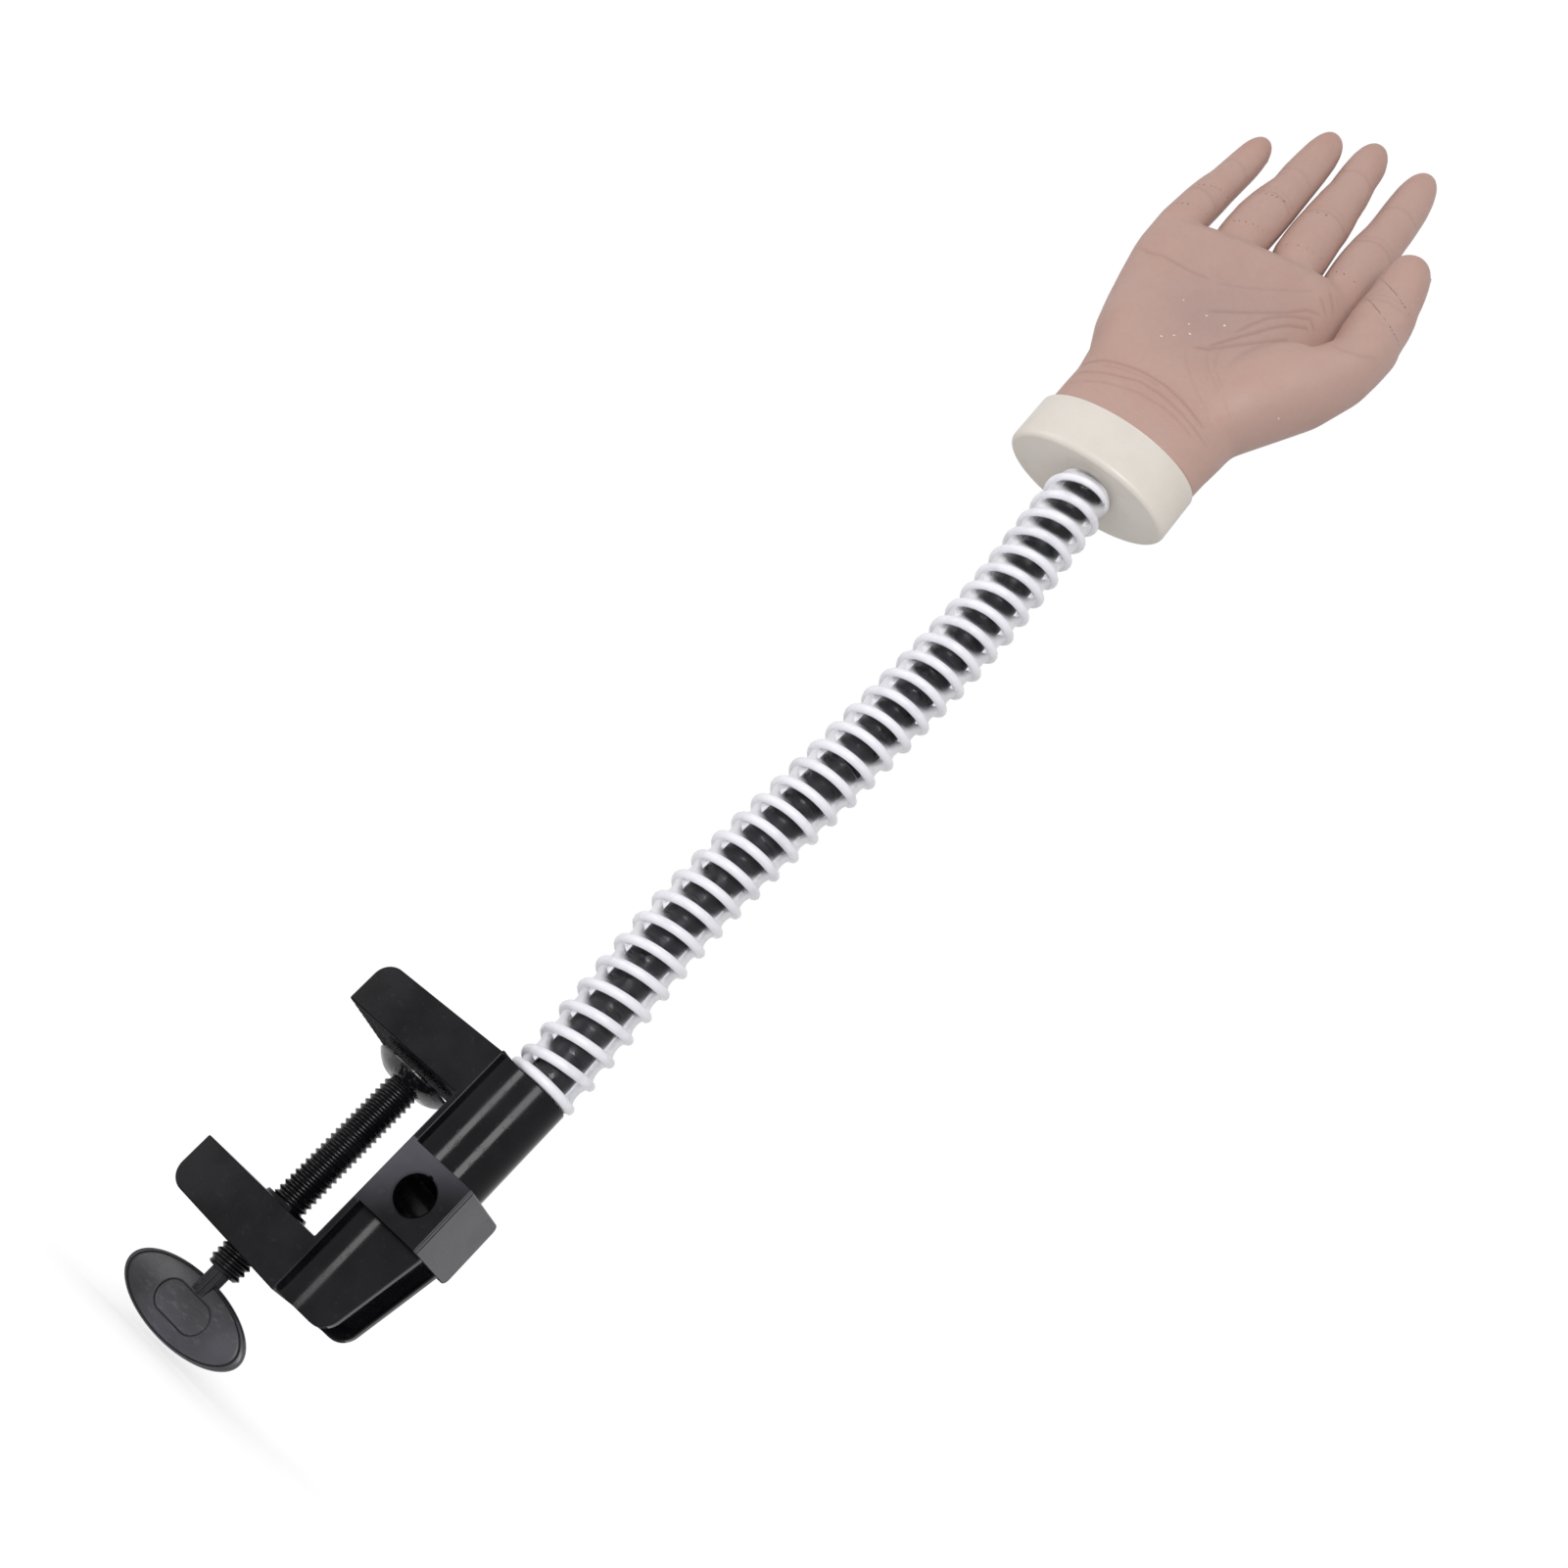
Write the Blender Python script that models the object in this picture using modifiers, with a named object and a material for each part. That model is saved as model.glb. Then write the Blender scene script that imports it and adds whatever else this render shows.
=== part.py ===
"""Nail practice hand: a silicone hand on a flexible neck that stands in a table clamp.

Metres, +Z up along the clamp's screw. The origin lies where the screw's axis meets the gripping
face of the upper jaw. The jaws open towards -X, and the palm looks towards -Y. The pieces are drawn
from the inner face of the clamp's back wall, and the last step moves them to the origin.
"""

import math

import bmesh
import bpy
import numpy as np
from mathutils import Matrix, Vector

# Clearances and finish of round pieces
TOUCH_GAP = 0.0003
RUN_GAP = 0.0004
NUT_ROOM = 0.0018
OVERRUN = 0.0030
WELD = 0.00001
ROUND_STEPS = 20
SMALL_STEPS = 12
PIN_STEPS = 8

# Clamp: jaws
JAW_LENGTH = 0.0430
JAW_WIDTH = 0.0370
JAW_OPENING = 0.0520
JAW_ROOT_HEIGHT = 0.0167
JAW_TIP_HEIGHT = 0.0152
JAW_NOSE_RADIUS = 0.0055
JAW_EDGE_ROUND = 0.0005
GRIP_GROOVES = 8
GRIP_GROOVE_DEPTH = 0.0010
GRIP_PLAIN_ROOT = 0.0040

# Clamp: back wall, socket tube, boss and gusset
WALL_THICKNESS = 0.0022
TUBE_RADIUS = 0.0104
MOUTH_RISE = 0.0006
SOCKET_DEPTH = 0.0280
BOSS_REACH = 0.0227
BOSS_HEIGHT = 0.0207
BOSS_DROP = 0.0162
BOSS_ROUND = 0.0024
BOSS_GROOVE_INSET = 0.0016
BOSS_GROOVE_WIDTH = 0.0009
BOSS_GROOVE_DEPTH = 0.0006
SPARE_SOCKET_RADIUS = 0.0060
SPARE_SOCKET_DEPTH = 0.0260
SPARE_SOCKET_REACH = 0.0124
GUSSET_HALF_WIDTH = 0.0122
GUSSET_FLANGE = 0.0022
GUSSET_RECESS = 0.0030
GUSSET_FOOT_REACH = 0.0186
GUSSET_CORNER = 0.0062

# Clamp screw, handle and pad
SCREW_SETBACK = 0.0197
SCREW_RADIUS = 0.0045
SCREW_LENGTH = 0.0681
SCREW_TIP_RADIUS = 0.0028
SCREW_TIP_LENGTH = 0.0020
COLLAR_RADIUS = 0.0072
COLLAR_HEIGHT = 0.0010
STUB_RADIUS = 0.0031
STUB_FLUTES = 8
STUB_FLUTE_SHARE = 0.86
HANDLE_GAP = 0.0034
HANDLE_SOCKET_DEPTH = 0.0044
HANDLE_WIDTH = 0.0455
HANDLE_HEIGHT = 0.0195
HANDLE_THICKNESS = 0.0052
HANDLE_RIM = 0.0022
HANDLE_RECESS_WIDTH = 0.0186
HANDLE_RECESS_HEIGHT = 0.0094
HANDLE_RECESS_DEPTH = 0.0006
# Lens of the handle: place as a share of its radius, fall as a share of its whole fall to the rim
HANDLE_LENS_SHARES = ((0.0, 0.0), (0.55, 0.25), (0.85, 0.75), (1.0, 1.0))
PAD_RADIUS = 0.0130
PAD_RIM = 0.0010
PAD_HEIGHT = 0.0048
PAD_HUB_RADIUS = 0.0058
PAD_CLEARANCE = 0.0021
RIVET_HEAD_RADIUS = 0.0040
RIVET_HEAD_HEIGHT = 0.0012
RIVET_SHANK_RADIUS = 0.0012
RIVET_SHANK_LENGTH = 0.0042

# Neck: its line as shares of its rise, with its sway to the side, and its lean at the hand
NECK_RISE = 0.2653
NECK_RISE_SHARES = (0.0, 0.26, 0.50, 0.76, 1.0)
NECK_SWAYS = (0.0, -0.0046, -0.0022, -0.0017, -0.0071)
NECK_LEAN_DEG = 5.1
NECK_BACK_DEG = 2.75
CORE_RADIUS = 0.0066
CORE_RINGS = 22
SLEEVE_RADIUS = 0.0076
SLEEVE_BORE_RADIUS = 0.0071
SLEEVE_RINGS = 18
SPIRAL_WIRE_RADIUS = 0.00125
SPIRAL_TURNS = 31
SPIRAL_POINTS_PER_TURN = 9
FERRULE_RADIUS = 0.0054
FERRULE_COLLAR_RADIUS = 0.0066
FERRULE_COLLAR_HEIGHT = 0.0016
PLUG_NUT_WIDTH = 0.0160
PLUG_NUT_HEIGHT = 0.0050

# Wrist plug
PLUG_HALF_WIDTH = 0.0302
PLUG_HALF_DEPTH = 0.0162
PLUG_HEIGHT = 0.0200
PLUG_ROUND = 0.0030
PLUG_CORE_DEPTH = 0.0120
SPIGOT_INSET = 0.0050
SPIGOT_HEIGHT = 0.0090
HAND_TURN_DEG = 10.9

# Palm plate, bones and pins of the armature
PLATE_THICKNESS = 0.0050
PLATE_FOOT_HALF_WIDTH = 0.0150
PLATE_FOOT_HALF_DEPTH = 0.0100
PLATE_FOOT_HEIGHT = 0.0030
PLATE_NECK_WIDTH = 0.0256
PLATE_SIDE_MARGIN = 0.0030
PLATE_SHOULDER = 0.0820
PLATE_TOP = 0.0940
LUG_OVERLAP = 0.0060
LUG_LENGTH = 0.0090
THUMB_LUG_LENGTH = 0.0198
THUMB_ARM_RADIUS = 0.0024
THUMB_ARM_ROOT = (0.0180, 0.0010, 0.0640)
THUMB_ARM_ELBOW = (0.0340, -0.0070, 0.0760)
BONE_WIDTH = 0.0060
BONE_THICKNESS = 0.0046
LAP_GAP = 0.0004
LAP_SHOULDER = 0.0036
PIN_RADIUS = 0.0009
BONE_TIP_SHARE = 0.80
FLEX_DEG = 35.0
EXTEND_DEG = 8.0

# Skin of the palm: rings of height, side, depth, half width and half depth
SKIN_VOXEL = 0.0013
SKIN_SMOOTH_ROUNDS = 14
SKIN_KEEP_SHARE = 0.050
PALM_SQUARENESS = 2.4
PALM_CLOSE_SHARES = (0.93, 0.70)
PALM_RINGS = (
    (0.0060, 0.0005, 0.0000, 0.0290, 0.0152),
    (0.0220, 0.0005, 0.0000, 0.0290, 0.0152),
    (0.0380, 0.0014, 0.0000, 0.0295, 0.0158),
    (0.0500, 0.0011, 0.0000, 0.0309, 0.0162),
    (0.0620, -0.0006, 0.0000, 0.0338, 0.0158),
    (0.0740, -0.0014, 0.0000, 0.0355, 0.0150),
    (0.0900, -0.0018, 0.0005, 0.0378, 0.0138),
    (0.1060, -0.0022, 0.0010, 0.0398, 0.0126),
    (0.1190, -0.0026, 0.0010, 0.0400, 0.0116),
)
PALM_TOP_SLOPE_DEG = 12.5
PALM_SLOPE_START = 0.0540
THENAR_RINGS = (
    (0.0360, 0.0130, -0.0010, 0.0130, 0.0120),
    (0.0460, 0.0185, -0.0030, 0.0140, 0.0130),
    (0.0580, 0.0252, -0.0058, 0.0152, 0.0142),
    (0.0720, 0.0338, -0.0086, 0.0156, 0.0148),
    (0.0880, 0.0410, -0.0115, 0.0146, 0.0142),
    (0.1060, 0.0450, -0.0130, 0.0126, 0.0126),
)

# Fingers: root side, root height, tip side, tip height, half width at root and tip, curl, knuckle radius
FINGERS = {
    "index": (0.0277, 0.1300, 0.0255, 0.2020, 0.0102, 0.0078, 0.0030, 0.0100),
    "middle": (0.0080, 0.1290, 0.0042, 0.2018, 0.0100, 0.0079, 0.0025, 0.0120),
    "ring": (-0.0136, 0.1240, -0.0112, 0.1940, 0.0098, 0.0073, 0.0035, 0.0118),
    "little": (-0.0345, 0.1170, -0.0295, 0.1733, 0.0090, 0.0066, 0.0040, 0.0081),
}
FINGER_DEPTH = 0.0010
FINGER_MIDDLE_SHARE = 0.44
FINGER_CUT_MARGIN = 0.0002
THUMB_ROOT = (0.0458, -0.0140, 0.1040)
THUMB_TIP = (0.0430, -0.0165, 0.1456)
THUMB_HALF_WIDTHS = (0.0122, 0.0082)
THUMB_CURL = 0.0020
THUMB_ROLL_DEG = -34.0
THUMB_FLEX_DEG = 16.0
THUMB_EXTEND_DEG = 12.0
THUMB_MIDDLE_SHARE = 0.42
THUMB_CUT_HALF_WIDTH = 0.0136
THUMB_KNUCKLE_RADIUS = 0.0146
MIDDLE_KNUCKLE_SHARE = 1.14
FINGER_DEPTH_SHARE = 0.93
FINGER_SQUARENESS = 2.2
FINGER_CUT_SHARE = 0.91
# Along a finger: place as a share of its length, half width as a share of the straight taper
FINGER_RING_SHARES = (
    (-0.28, 0.72), (0.0, 0.90), (0.10, 0.91), (0.24, 0.94), (0.44, 0.97), (0.58, 0.93), (0.72, 0.93),
    (0.84, 0.91), (0.92, 0.80), (0.97, 0.58), (1.0, 0.22),
)
NAIL_THICKNESS = 0.0008
NAIL_PROUD = 0.0004
NAIL_CURVE_SHARE = 1.10
NAIL_ARC_DEG = 80.0
NAIL_START_SHARE = 0.82
NAIL_END_SHARE = 0.94

# Places that follow from the sizes
MOUTH = JAW_ROOT_HEIGHT + MOUTH_RISE
HALF_WIDTH = JAW_WIDTH / 2
NUT_RADIUS = PLUG_NUT_WIDTH / 2 / math.cos(math.radians(30))
JAW_FOOT = -JAW_OPENING - JAW_ROOT_HEIGHT
BOSS_FOOT = -BOSS_DROP - BOSS_HEIGHT
PAD_TOP = -PAD_CLEARANCE
PAD_FOOT = PAD_TOP - PAD_HEIGHT
SCREW_SHOULDER = PAD_FOOT - TOUCH_GAP
SCREW_FOOT = SCREW_SHOULDER - SCREW_LENGTH
HANDLE_TOP = SCREW_FOOT - HANDLE_GAP
HANDLE_CENTRE = HANDLE_TOP - HANDLE_HEIGHT / 2
LAP_RADIUS = math.hypot(BONE_THICKNESS / 2, BONE_THICKNESS / 2)

TUBE_AXIS = Matrix.Translation((TUBE_RADIUS, 0, 0))
SCREW_AXIS = Matrix.Translation((-SCREW_SETBACK, 0, 0))
SIDE_ON = Matrix.Rotation(math.radians(90), 4, "X")
END_ON = Matrix.Rotation(math.radians(90), 4, "Z") @ SIDE_ON


def clear_scene():
    for obj in list(bpy.data.objects):
        bpy.data.objects.remove(obj, do_unlink=True)
    for name in ("Nail practice hand", "Cutters"):
        old = bpy.data.collections.get(name)
        if old:
            bpy.data.collections.remove(old)
        bpy.context.scene.collection.children.link(bpy.data.collections.new(name))


def finish(name, colour, roughness, metallic=0.0):
    """One Principled material for one piece."""
    material = bpy.data.materials.new(name)
    material.use_nodes = True
    shader = material.node_tree.nodes["Principled BSDF"]
    shader.inputs["Base Color"].default_value = (*colour, 1)
    shader.inputs["Roughness"].default_value = roughness
    shader.inputs["Metallic"].default_value = metallic
    return material


BLACK = (0.012, 0.012, 0.014)
STEEL = (0.55, 0.55, 0.56)
IVORY = (0.72, 0.68, 0.60)
SKIN = (0.48, 0.31, 0.26)
CLEAR = (0.80, 0.80, 0.82)
WHITE = (0.76, 0.75, 0.80)
BONE = (0.70, 0.69, 0.66)
NAIL = (0.62, 0.46, 0.42)


def add_object(name, mesh, collection="Cutters"):
    obj = bpy.data.objects.new(name, mesh)
    bpy.data.collections[collection].objects.link(obj)
    if collection == "Cutters":
        obj.hide_render = True
        obj.display_type = "WIRE"
    return obj


def settle(obj):
    """Replaces an object's mesh by its evaluated one, so that the next cut starts from plain faces."""
    graph = bpy.context.evaluated_depsgraph_get()
    mesh = bpy.data.meshes.new_from_object(obj.evaluated_get(graph))
    obj.modifiers.clear()
    obj.data = mesh
    return obj


def to_mesh(curve_object, name):
    """Turns a curve into a welded mesh in world space and removes the curve."""
    graph = bpy.context.evaluated_depsgraph_get()
    mesh = bpy.data.meshes.new_from_object(curve_object.evaluated_get(graph))
    mesh.name = name
    mesh.transform(curve_object.matrix_world)
    work = bmesh.new()
    work.from_mesh(mesh)
    bmesh.ops.remove_doubles(work, verts=work.verts, dist=WELD)
    bmesh.ops.recalc_face_normals(work, faces=work.faces)
    work.to_mesh(mesh)
    work.free()
    bpy.data.objects.remove(curve_object, do_unlink=True)
    return mesh


def plate(outline, half_thickness, place):
    """Flat outline as a filled 2D curve, given a thickness and put in its place."""
    curve = bpy.data.curves.new("outline", "CURVE")
    curve.dimensions = "2D"
    curve.fill_mode = "BOTH"
    curve.extrude = half_thickness
    spline = curve.splines.new("POLY")
    spline.points.add(len(outline) - 1)
    for point, (x, y) in zip(spline.points, outline):
        point.co = (x, y, 0, 1)
    spline.use_cyclic_u = True
    obj = add_object("outline", curve)
    mesh = to_mesh(obj, "plate")
    mesh.transform(place)
    return mesh


def rod(points, radius, resolution, radii=None):
    """Round bar along points, with filled ends."""
    curve = bpy.data.curves.new("rod", "CURVE")
    curve.dimensions = "3D"
    curve.bevel_depth = radius
    curve.bevel_resolution = resolution
    curve.use_fill_caps = True
    spline = curve.splines.new("POLY")
    spline.points.add(len(points) - 1)
    for index, point in enumerate(points):
        spline.points[index].co = (*point, 1)
        spline.points[index].radius = radii[index] if radii else 1
    return to_mesh(add_object("rod", curve), "rod")


def cylinder(radius, low, high, place=Matrix(), steps=ROUND_STEPS):
    work = bmesh.new()
    middle = Matrix.Translation((0, 0, (low + high) / 2))
    bmesh.ops.create_cone(work, cap_ends=True, segments=steps, radius1=radius, radius2=radius,
                          depth=high - low, matrix=place @ middle)
    mesh = bpy.data.meshes.new("cylinder")
    work.to_mesh(mesh)
    work.free()
    return mesh


def box(low, high, place=Matrix()):
    size = Vector(high) - Vector(low)
    middle = (Vector(high) + Vector(low)) / 2
    work = bmesh.new()
    bmesh.ops.create_cube(work, size=1,
                          matrix=place @ Matrix.Translation(middle) @ Matrix.Diagonal((*size, 1)))
    mesh = bpy.data.meshes.new("box")
    work.to_mesh(mesh)
    work.free()
    return mesh


def turned(name, profile, closed, steps=ROUND_STEPS, place=Matrix()):
    """Profile at +X, from the top down its outer side, turned about Z."""
    mesh = bpy.data.meshes.new(name)
    edges = [(k, k + 1) for k in range(len(profile) - 1)]
    if closed:
        edges.append((len(profile) - 1, 0))
    mesh.from_pydata([(r, 0, z) for r, z in profile], edges, [])
    obj = add_object(name, mesh)
    screw = obj.modifiers.new("turn", "SCREW")
    screw.steps = screw.render_steps = steps
    screw.use_merge_vertices = True
    screw.merge_threshold = WELD
    settle(obj)
    result = obj.data
    bpy.data.objects.remove(obj, do_unlink=True)
    result.transform(place)
    return result


def combine(name, meshes, operation="UNION", first=None, solver="EXACT"):
    """Joins meshes to one body, or cuts the later ones from the first, one after another."""
    obj = add_object(name, meshes[0] if first is None else first)
    rest = meshes[1:] if first is None else meshes
    for mesh in rest:
        tool = add_object("tool", mesh)
        cut = obj.modifiers.new("cut", "BOOLEAN")
        cut.operation = operation
        cut.solver = solver
        cut.object = tool
        settle(obj)
        bpy.data.objects.remove(tool, do_unlink=True)
    mesh = obj.data
    bpy.data.objects.remove(obj, do_unlink=True)
    return mesh


def cut_from(mesh, tools):
    return combine("cut", tools, "DIFFERENCE", first=mesh)


def cut_skin(mesh, tools, operation="DIFFERENCE"):
    """Cuts the soft skin, whose many small faces need the solver for closed bodies."""
    return main_body(combine("skin", tools, operation, first=mesh, solver="MANIFOLD"))


def main_body(mesh):
    """Leaves out the slivers of the webs that a cut between two fingers sets loose."""
    work = bmesh.new()
    work.from_mesh(mesh)
    left = set(work.verts)
    bodies = []
    while left:
        body = {left.pop()}
        edge = list(body)
        while edge:
            vert = edge.pop()
            near = {e.other_vert(vert) for e in vert.link_edges} & left
            left -= near
            body |= near
            edge.extend(near)
        bodies.append(body)
    bodies.sort(key=len)
    for body in bodies[:-1]:
        bmesh.ops.delete(work, geom=list(body), context="VERTS")
    work.to_mesh(mesh)
    work.free()
    return mesh


def tidy(mesh):
    """Welds the slivers that cuts leave behind."""
    work = bmesh.new()
    work.from_mesh(mesh)
    bmesh.ops.remove_doubles(work, verts=work.verts, dist=WELD)
    bmesh.ops.dissolve_degenerate(work, edges=work.edges, dist=WELD)
    work.to_mesh(mesh)
    work.free()
    return mesh


def piece(name, mesh, material, parent=None):
    """Names a finished piece, shades it and hangs it on its body's axis."""
    mesh = tidy(mesh)
    mesh.name = name
    mesh.materials.clear()
    mesh.materials.append(material)
    mesh.shade_smooth()
    mesh.set_sharp_from_angle(angle=math.radians(35))
    obj = add_object(name, mesh, "Nail practice hand")
    if parent is not None:
        obj.parent = parent
        obj.matrix_parent_inverse = parent.matrix_world.inverted()
    return obj


def axis_empty(name, place, parent=None):
    """Marks a joint's axis, and carries the pieces of its body."""
    empty = bpy.data.objects.new(name, None)
    empty.empty_display_size = PAD_RADIUS
    bpy.data.collections["Nail practice hand"].objects.link(empty)
    if parent is not None:
        empty.parent = parent
        empty.matrix_parent_inverse = parent.matrix_world.inverted()
    empty.matrix_basis = place
    bpy.context.view_layer.update()
    return empty


def arc(centre, radius, start_deg, end_deg, steps):
    """Points of an arc, both ends included."""
    angles = [math.radians(start_deg + (end_deg - start_deg) * k / steps) for k in range(steps + 1)]
    return [(centre[0] + radius * math.cos(a), centre[1] + radius * math.sin(a)) for a in angles]


# Clamp


def jaw_outline():
    """Side view of both jaws and the thin wall that joins them."""
    nose = JAW_NOSE_RADIUS
    upper = [(WALL_THICKNESS, JAW_ROOT_HEIGHT)]
    upper += arc((-JAW_LENGTH + nose, JAW_TIP_HEIGHT - nose), nose, 95, 180, 5)
    upper += [(-JAW_LENGTH, 0), (0, 0)]
    lower = [(x, -JAW_OPENING - z) for x, z in reversed(upper)]
    return upper + lower


def tube_outline(round_end):
    """Section of the back: the wall flares in a hollow curve into the round tube."""
    edge = HALF_WIDTH - WALL_THICKNESS / 2
    side = [(WALL_THICKNESS / 2, -edge)]
    for k in range(7):
        turn = math.radians(90 * k / 6)
        side.append((TUBE_RADIUS - (TUBE_RADIUS - WALL_THICKNESS) * math.cos(turn),
                     -edge + (edge - TUBE_RADIUS) * math.sin(turn)))
    other = [(x, -y) for x, y in reversed(side)]
    if not round_end:
        return side + other
    return side + arc((TUBE_RADIUS, 0), TUBE_RADIUS, -90, 90, 12)[1:-1] + other


def gusset_outline(recess):
    """Side view of the gusset under the boss, drawn in by the recess at its free edge."""
    foot = JAW_FOOT + recess
    reach = GUSSET_FOOT_REACH - recess
    corner = GUSSET_CORNER
    top = BOSS_FOOT + BOSS_HEIGHT / 2
    outline = [(WALL_THICKNESS / 2, top), (WALL_THICKNESS / 2, foot)]
    outline += arc((reach - corner, foot + corner), corner, -90, -8, 5)
    outline.append((BOSS_REACH - recess, BOSS_FOOT + JAW_EDGE_ROUND))
    outline.append((BOSS_REACH - recess, top))
    return outline


def boss_outline():
    """End view of the boss: sharp towards the spare socket, round at its back."""
    back = HALF_WIDTH
    round_back = BOSS_ROUND
    outline = [(-back, -BOSS_DROP), (-back, BOSS_FOOT)]
    outline += arc((back - round_back, BOSS_FOOT + round_back), round_back, -90, 0, 4)
    outline += arc((back - round_back, -BOSS_DROP - round_back), round_back, 0, 90, 4)
    return outline


def boss_groove():
    """Shallow groove round three sides of the boss, behind its front edge."""
    near = WALL_THICKNESS + BOSS_GROOVE_WIDTH
    far = BOSS_REACH
    depth = BOSS_GROOVE_DEPTH
    top = -BOSS_DROP
    foot = BOSS_FOOT
    outline = [(near, top + OVERRUN), (far + OVERRUN, top + OVERRUN), (far + OVERRUN, foot - OVERRUN),
               (near, foot - OVERRUN), (near, foot + depth), (far - depth, foot + depth),
               (far - depth, top - depth), (near, top - depth)]
    middle = -HALF_WIDTH + BOSS_GROOVE_INSET + BOSS_GROOVE_WIDTH / 2
    return plate(outline, BOSS_GROOVE_WIDTH / 2, Matrix.Translation((0, middle, 0)) @ SIDE_ON)


def grip_grooves():
    """V grooves that run along the gripping face of the upper jaw."""
    pitch = JAW_WIDTH / (GRIP_GROOVES + 1)
    side = GRIP_GROOVE_DEPTH * math.sqrt(2)
    run = Vector((-JAW_LENGTH - OVERRUN, -GRIP_PLAIN_ROOT))
    tools = []
    for k in range(GRIP_GROOVES):
        middle = -HALF_WIDTH + pitch * (k + 1)
        turn = Matrix.Rotation(math.radians(45), 4, "X")
        turn = Matrix.Translation((0, middle, -GRIP_GROOVE_DEPTH)) @ turn
        tools.append(box((run[0], -side, -side), (run[1], side, side), turn))
    return tools


def make_clamp_frame():
    jaws = add_object("jaws", plate(jaw_outline(), HALF_WIDTH, SIDE_ON))
    bevel = jaws.modifiers.new("edge", "BEVEL")
    bevel.width = JAW_EDGE_ROUND
    bevel.segments = 1
    bevel.limit_method = "ANGLE"
    bevel.angle_limit = math.radians(40)
    settle(jaws)
    jaw_mesh = jaws.data
    bpy.data.objects.remove(jaws, do_unlink=True)

    boss_top = -BOSS_DROP - BOSS_HEIGHT / 2
    tube_middle = (MOUTH + boss_top) / 2
    tube = plate(tube_outline(True), (MOUTH - boss_top) / 2, Matrix.Translation((0, 0, tube_middle)))
    foot = JAW_FOOT + JAW_EDGE_ROUND
    back_middle = (boss_top + foot) / 2
    back = plate(tube_outline(False), (boss_top - foot) / 2, Matrix.Translation((0, 0, back_middle)))
    boss_middle = (BOSS_REACH + WALL_THICKNESS / 2) / 2
    boss = plate(boss_outline(), (BOSS_REACH - WALL_THICKNESS / 2) / 2,
                 Matrix.Translation((boss_middle, 0, 0)) @ END_ON)
    web = plate(gusset_outline(GUSSET_RECESS), GUSSET_HALF_WIDTH - GUSSET_FLANGE, SIDE_ON)
    flange_middle = GUSSET_HALF_WIDTH - GUSSET_FLANGE / 2
    flanges = [plate(gusset_outline(0), GUSSET_FLANGE / 2 + TOUCH_GAP,
                     Matrix.Translation((0, side * flange_middle, 0)) @ SIDE_ON) for side in (-1, 1)]
    collar = cylinder(COLLAR_RADIUS, -JAW_OPENING - COLLAR_HEIGHT, -JAW_OPENING + COLLAR_HEIGHT, SCREW_AXIS)
    frame = combine("frame", [jaw_mesh, tube, back, boss, web, *flanges, collar])

    socket = cylinder(FERRULE_RADIUS + RUN_GAP, MOUTH - SOCKET_DEPTH, MOUTH + OVERRUN, TUBE_AXIS)
    spare_middle = (SPARE_SOCKET_REACH, -HALF_WIDTH, -BOSS_DROP - BOSS_HEIGHT / 2)
    spare_place = Matrix.Translation(spare_middle) @ SIDE_ON
    spare = cylinder(SPARE_SOCKET_RADIUS, -SPARE_SOCKET_DEPTH, OVERRUN, spare_place)
    screw_hole = cylinder(SCREW_RADIUS + RUN_GAP, JAW_FOOT - OVERRUN, -JAW_OPENING + OVERRUN, SCREW_AXIS)
    frame = cut_from(frame, [socket, spare, screw_hole, boss_groove(), *grip_grooves()])
    return piece("clamp_frame", frame, finish("clamp black", BLACK, 0.22))


def make_pad(axis):
    hole = RIVET_SHANK_RADIUS + TOUCH_GAP
    recess = RIVET_HEAD_RADIUS + TOUCH_GAP
    recess_foot = PAD_TOP - RIVET_HEAD_HEIGHT - TOUCH_GAP
    seat = SCREW_TIP_RADIUS + TOUCH_GAP
    seat_top = PAD_FOOT + SCREW_TIP_LENGTH + TOUCH_GAP
    profile = [(hole, recess_foot), (recess, recess_foot), (recess, PAD_TOP), (PAD_RADIUS, PAD_TOP),
               (PAD_RADIUS, PAD_TOP - PAD_RIM)]
    bowl_width = PAD_RADIUS - PAD_HUB_RADIUS
    bowl_drop = PAD_HEIGHT - PAD_RIM
    for k in range(1, 6):
        share = 1 - k / 6
        fall = bowl_drop * (1 - share ** 2)
        profile.append((PAD_HUB_RADIUS + bowl_width * share, PAD_TOP - PAD_RIM - fall))
    profile += [(PAD_HUB_RADIUS, PAD_FOOT), (seat, PAD_FOOT), (seat, seat_top), (hole, seat_top)]
    mesh = turned("pad", profile, True, place=SCREW_AXIS)
    return piece("pressure_pad", mesh, finish("pad black", BLACK, 0.30), axis)


def stub_outline(clearance):
    """Fluted section of the stub, as a star with round arms."""
    outline = []
    for k in range(2 * STUB_FLUTES):
        radius = STUB_RADIUS if k % 2 == 0 else STUB_RADIUS * STUB_FLUTE_SHARE
        turn = math.pi * k / STUB_FLUTES
        outline.append(((radius + clearance) * math.cos(turn), (radius + clearance) * math.sin(turn)))
    return outline


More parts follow.
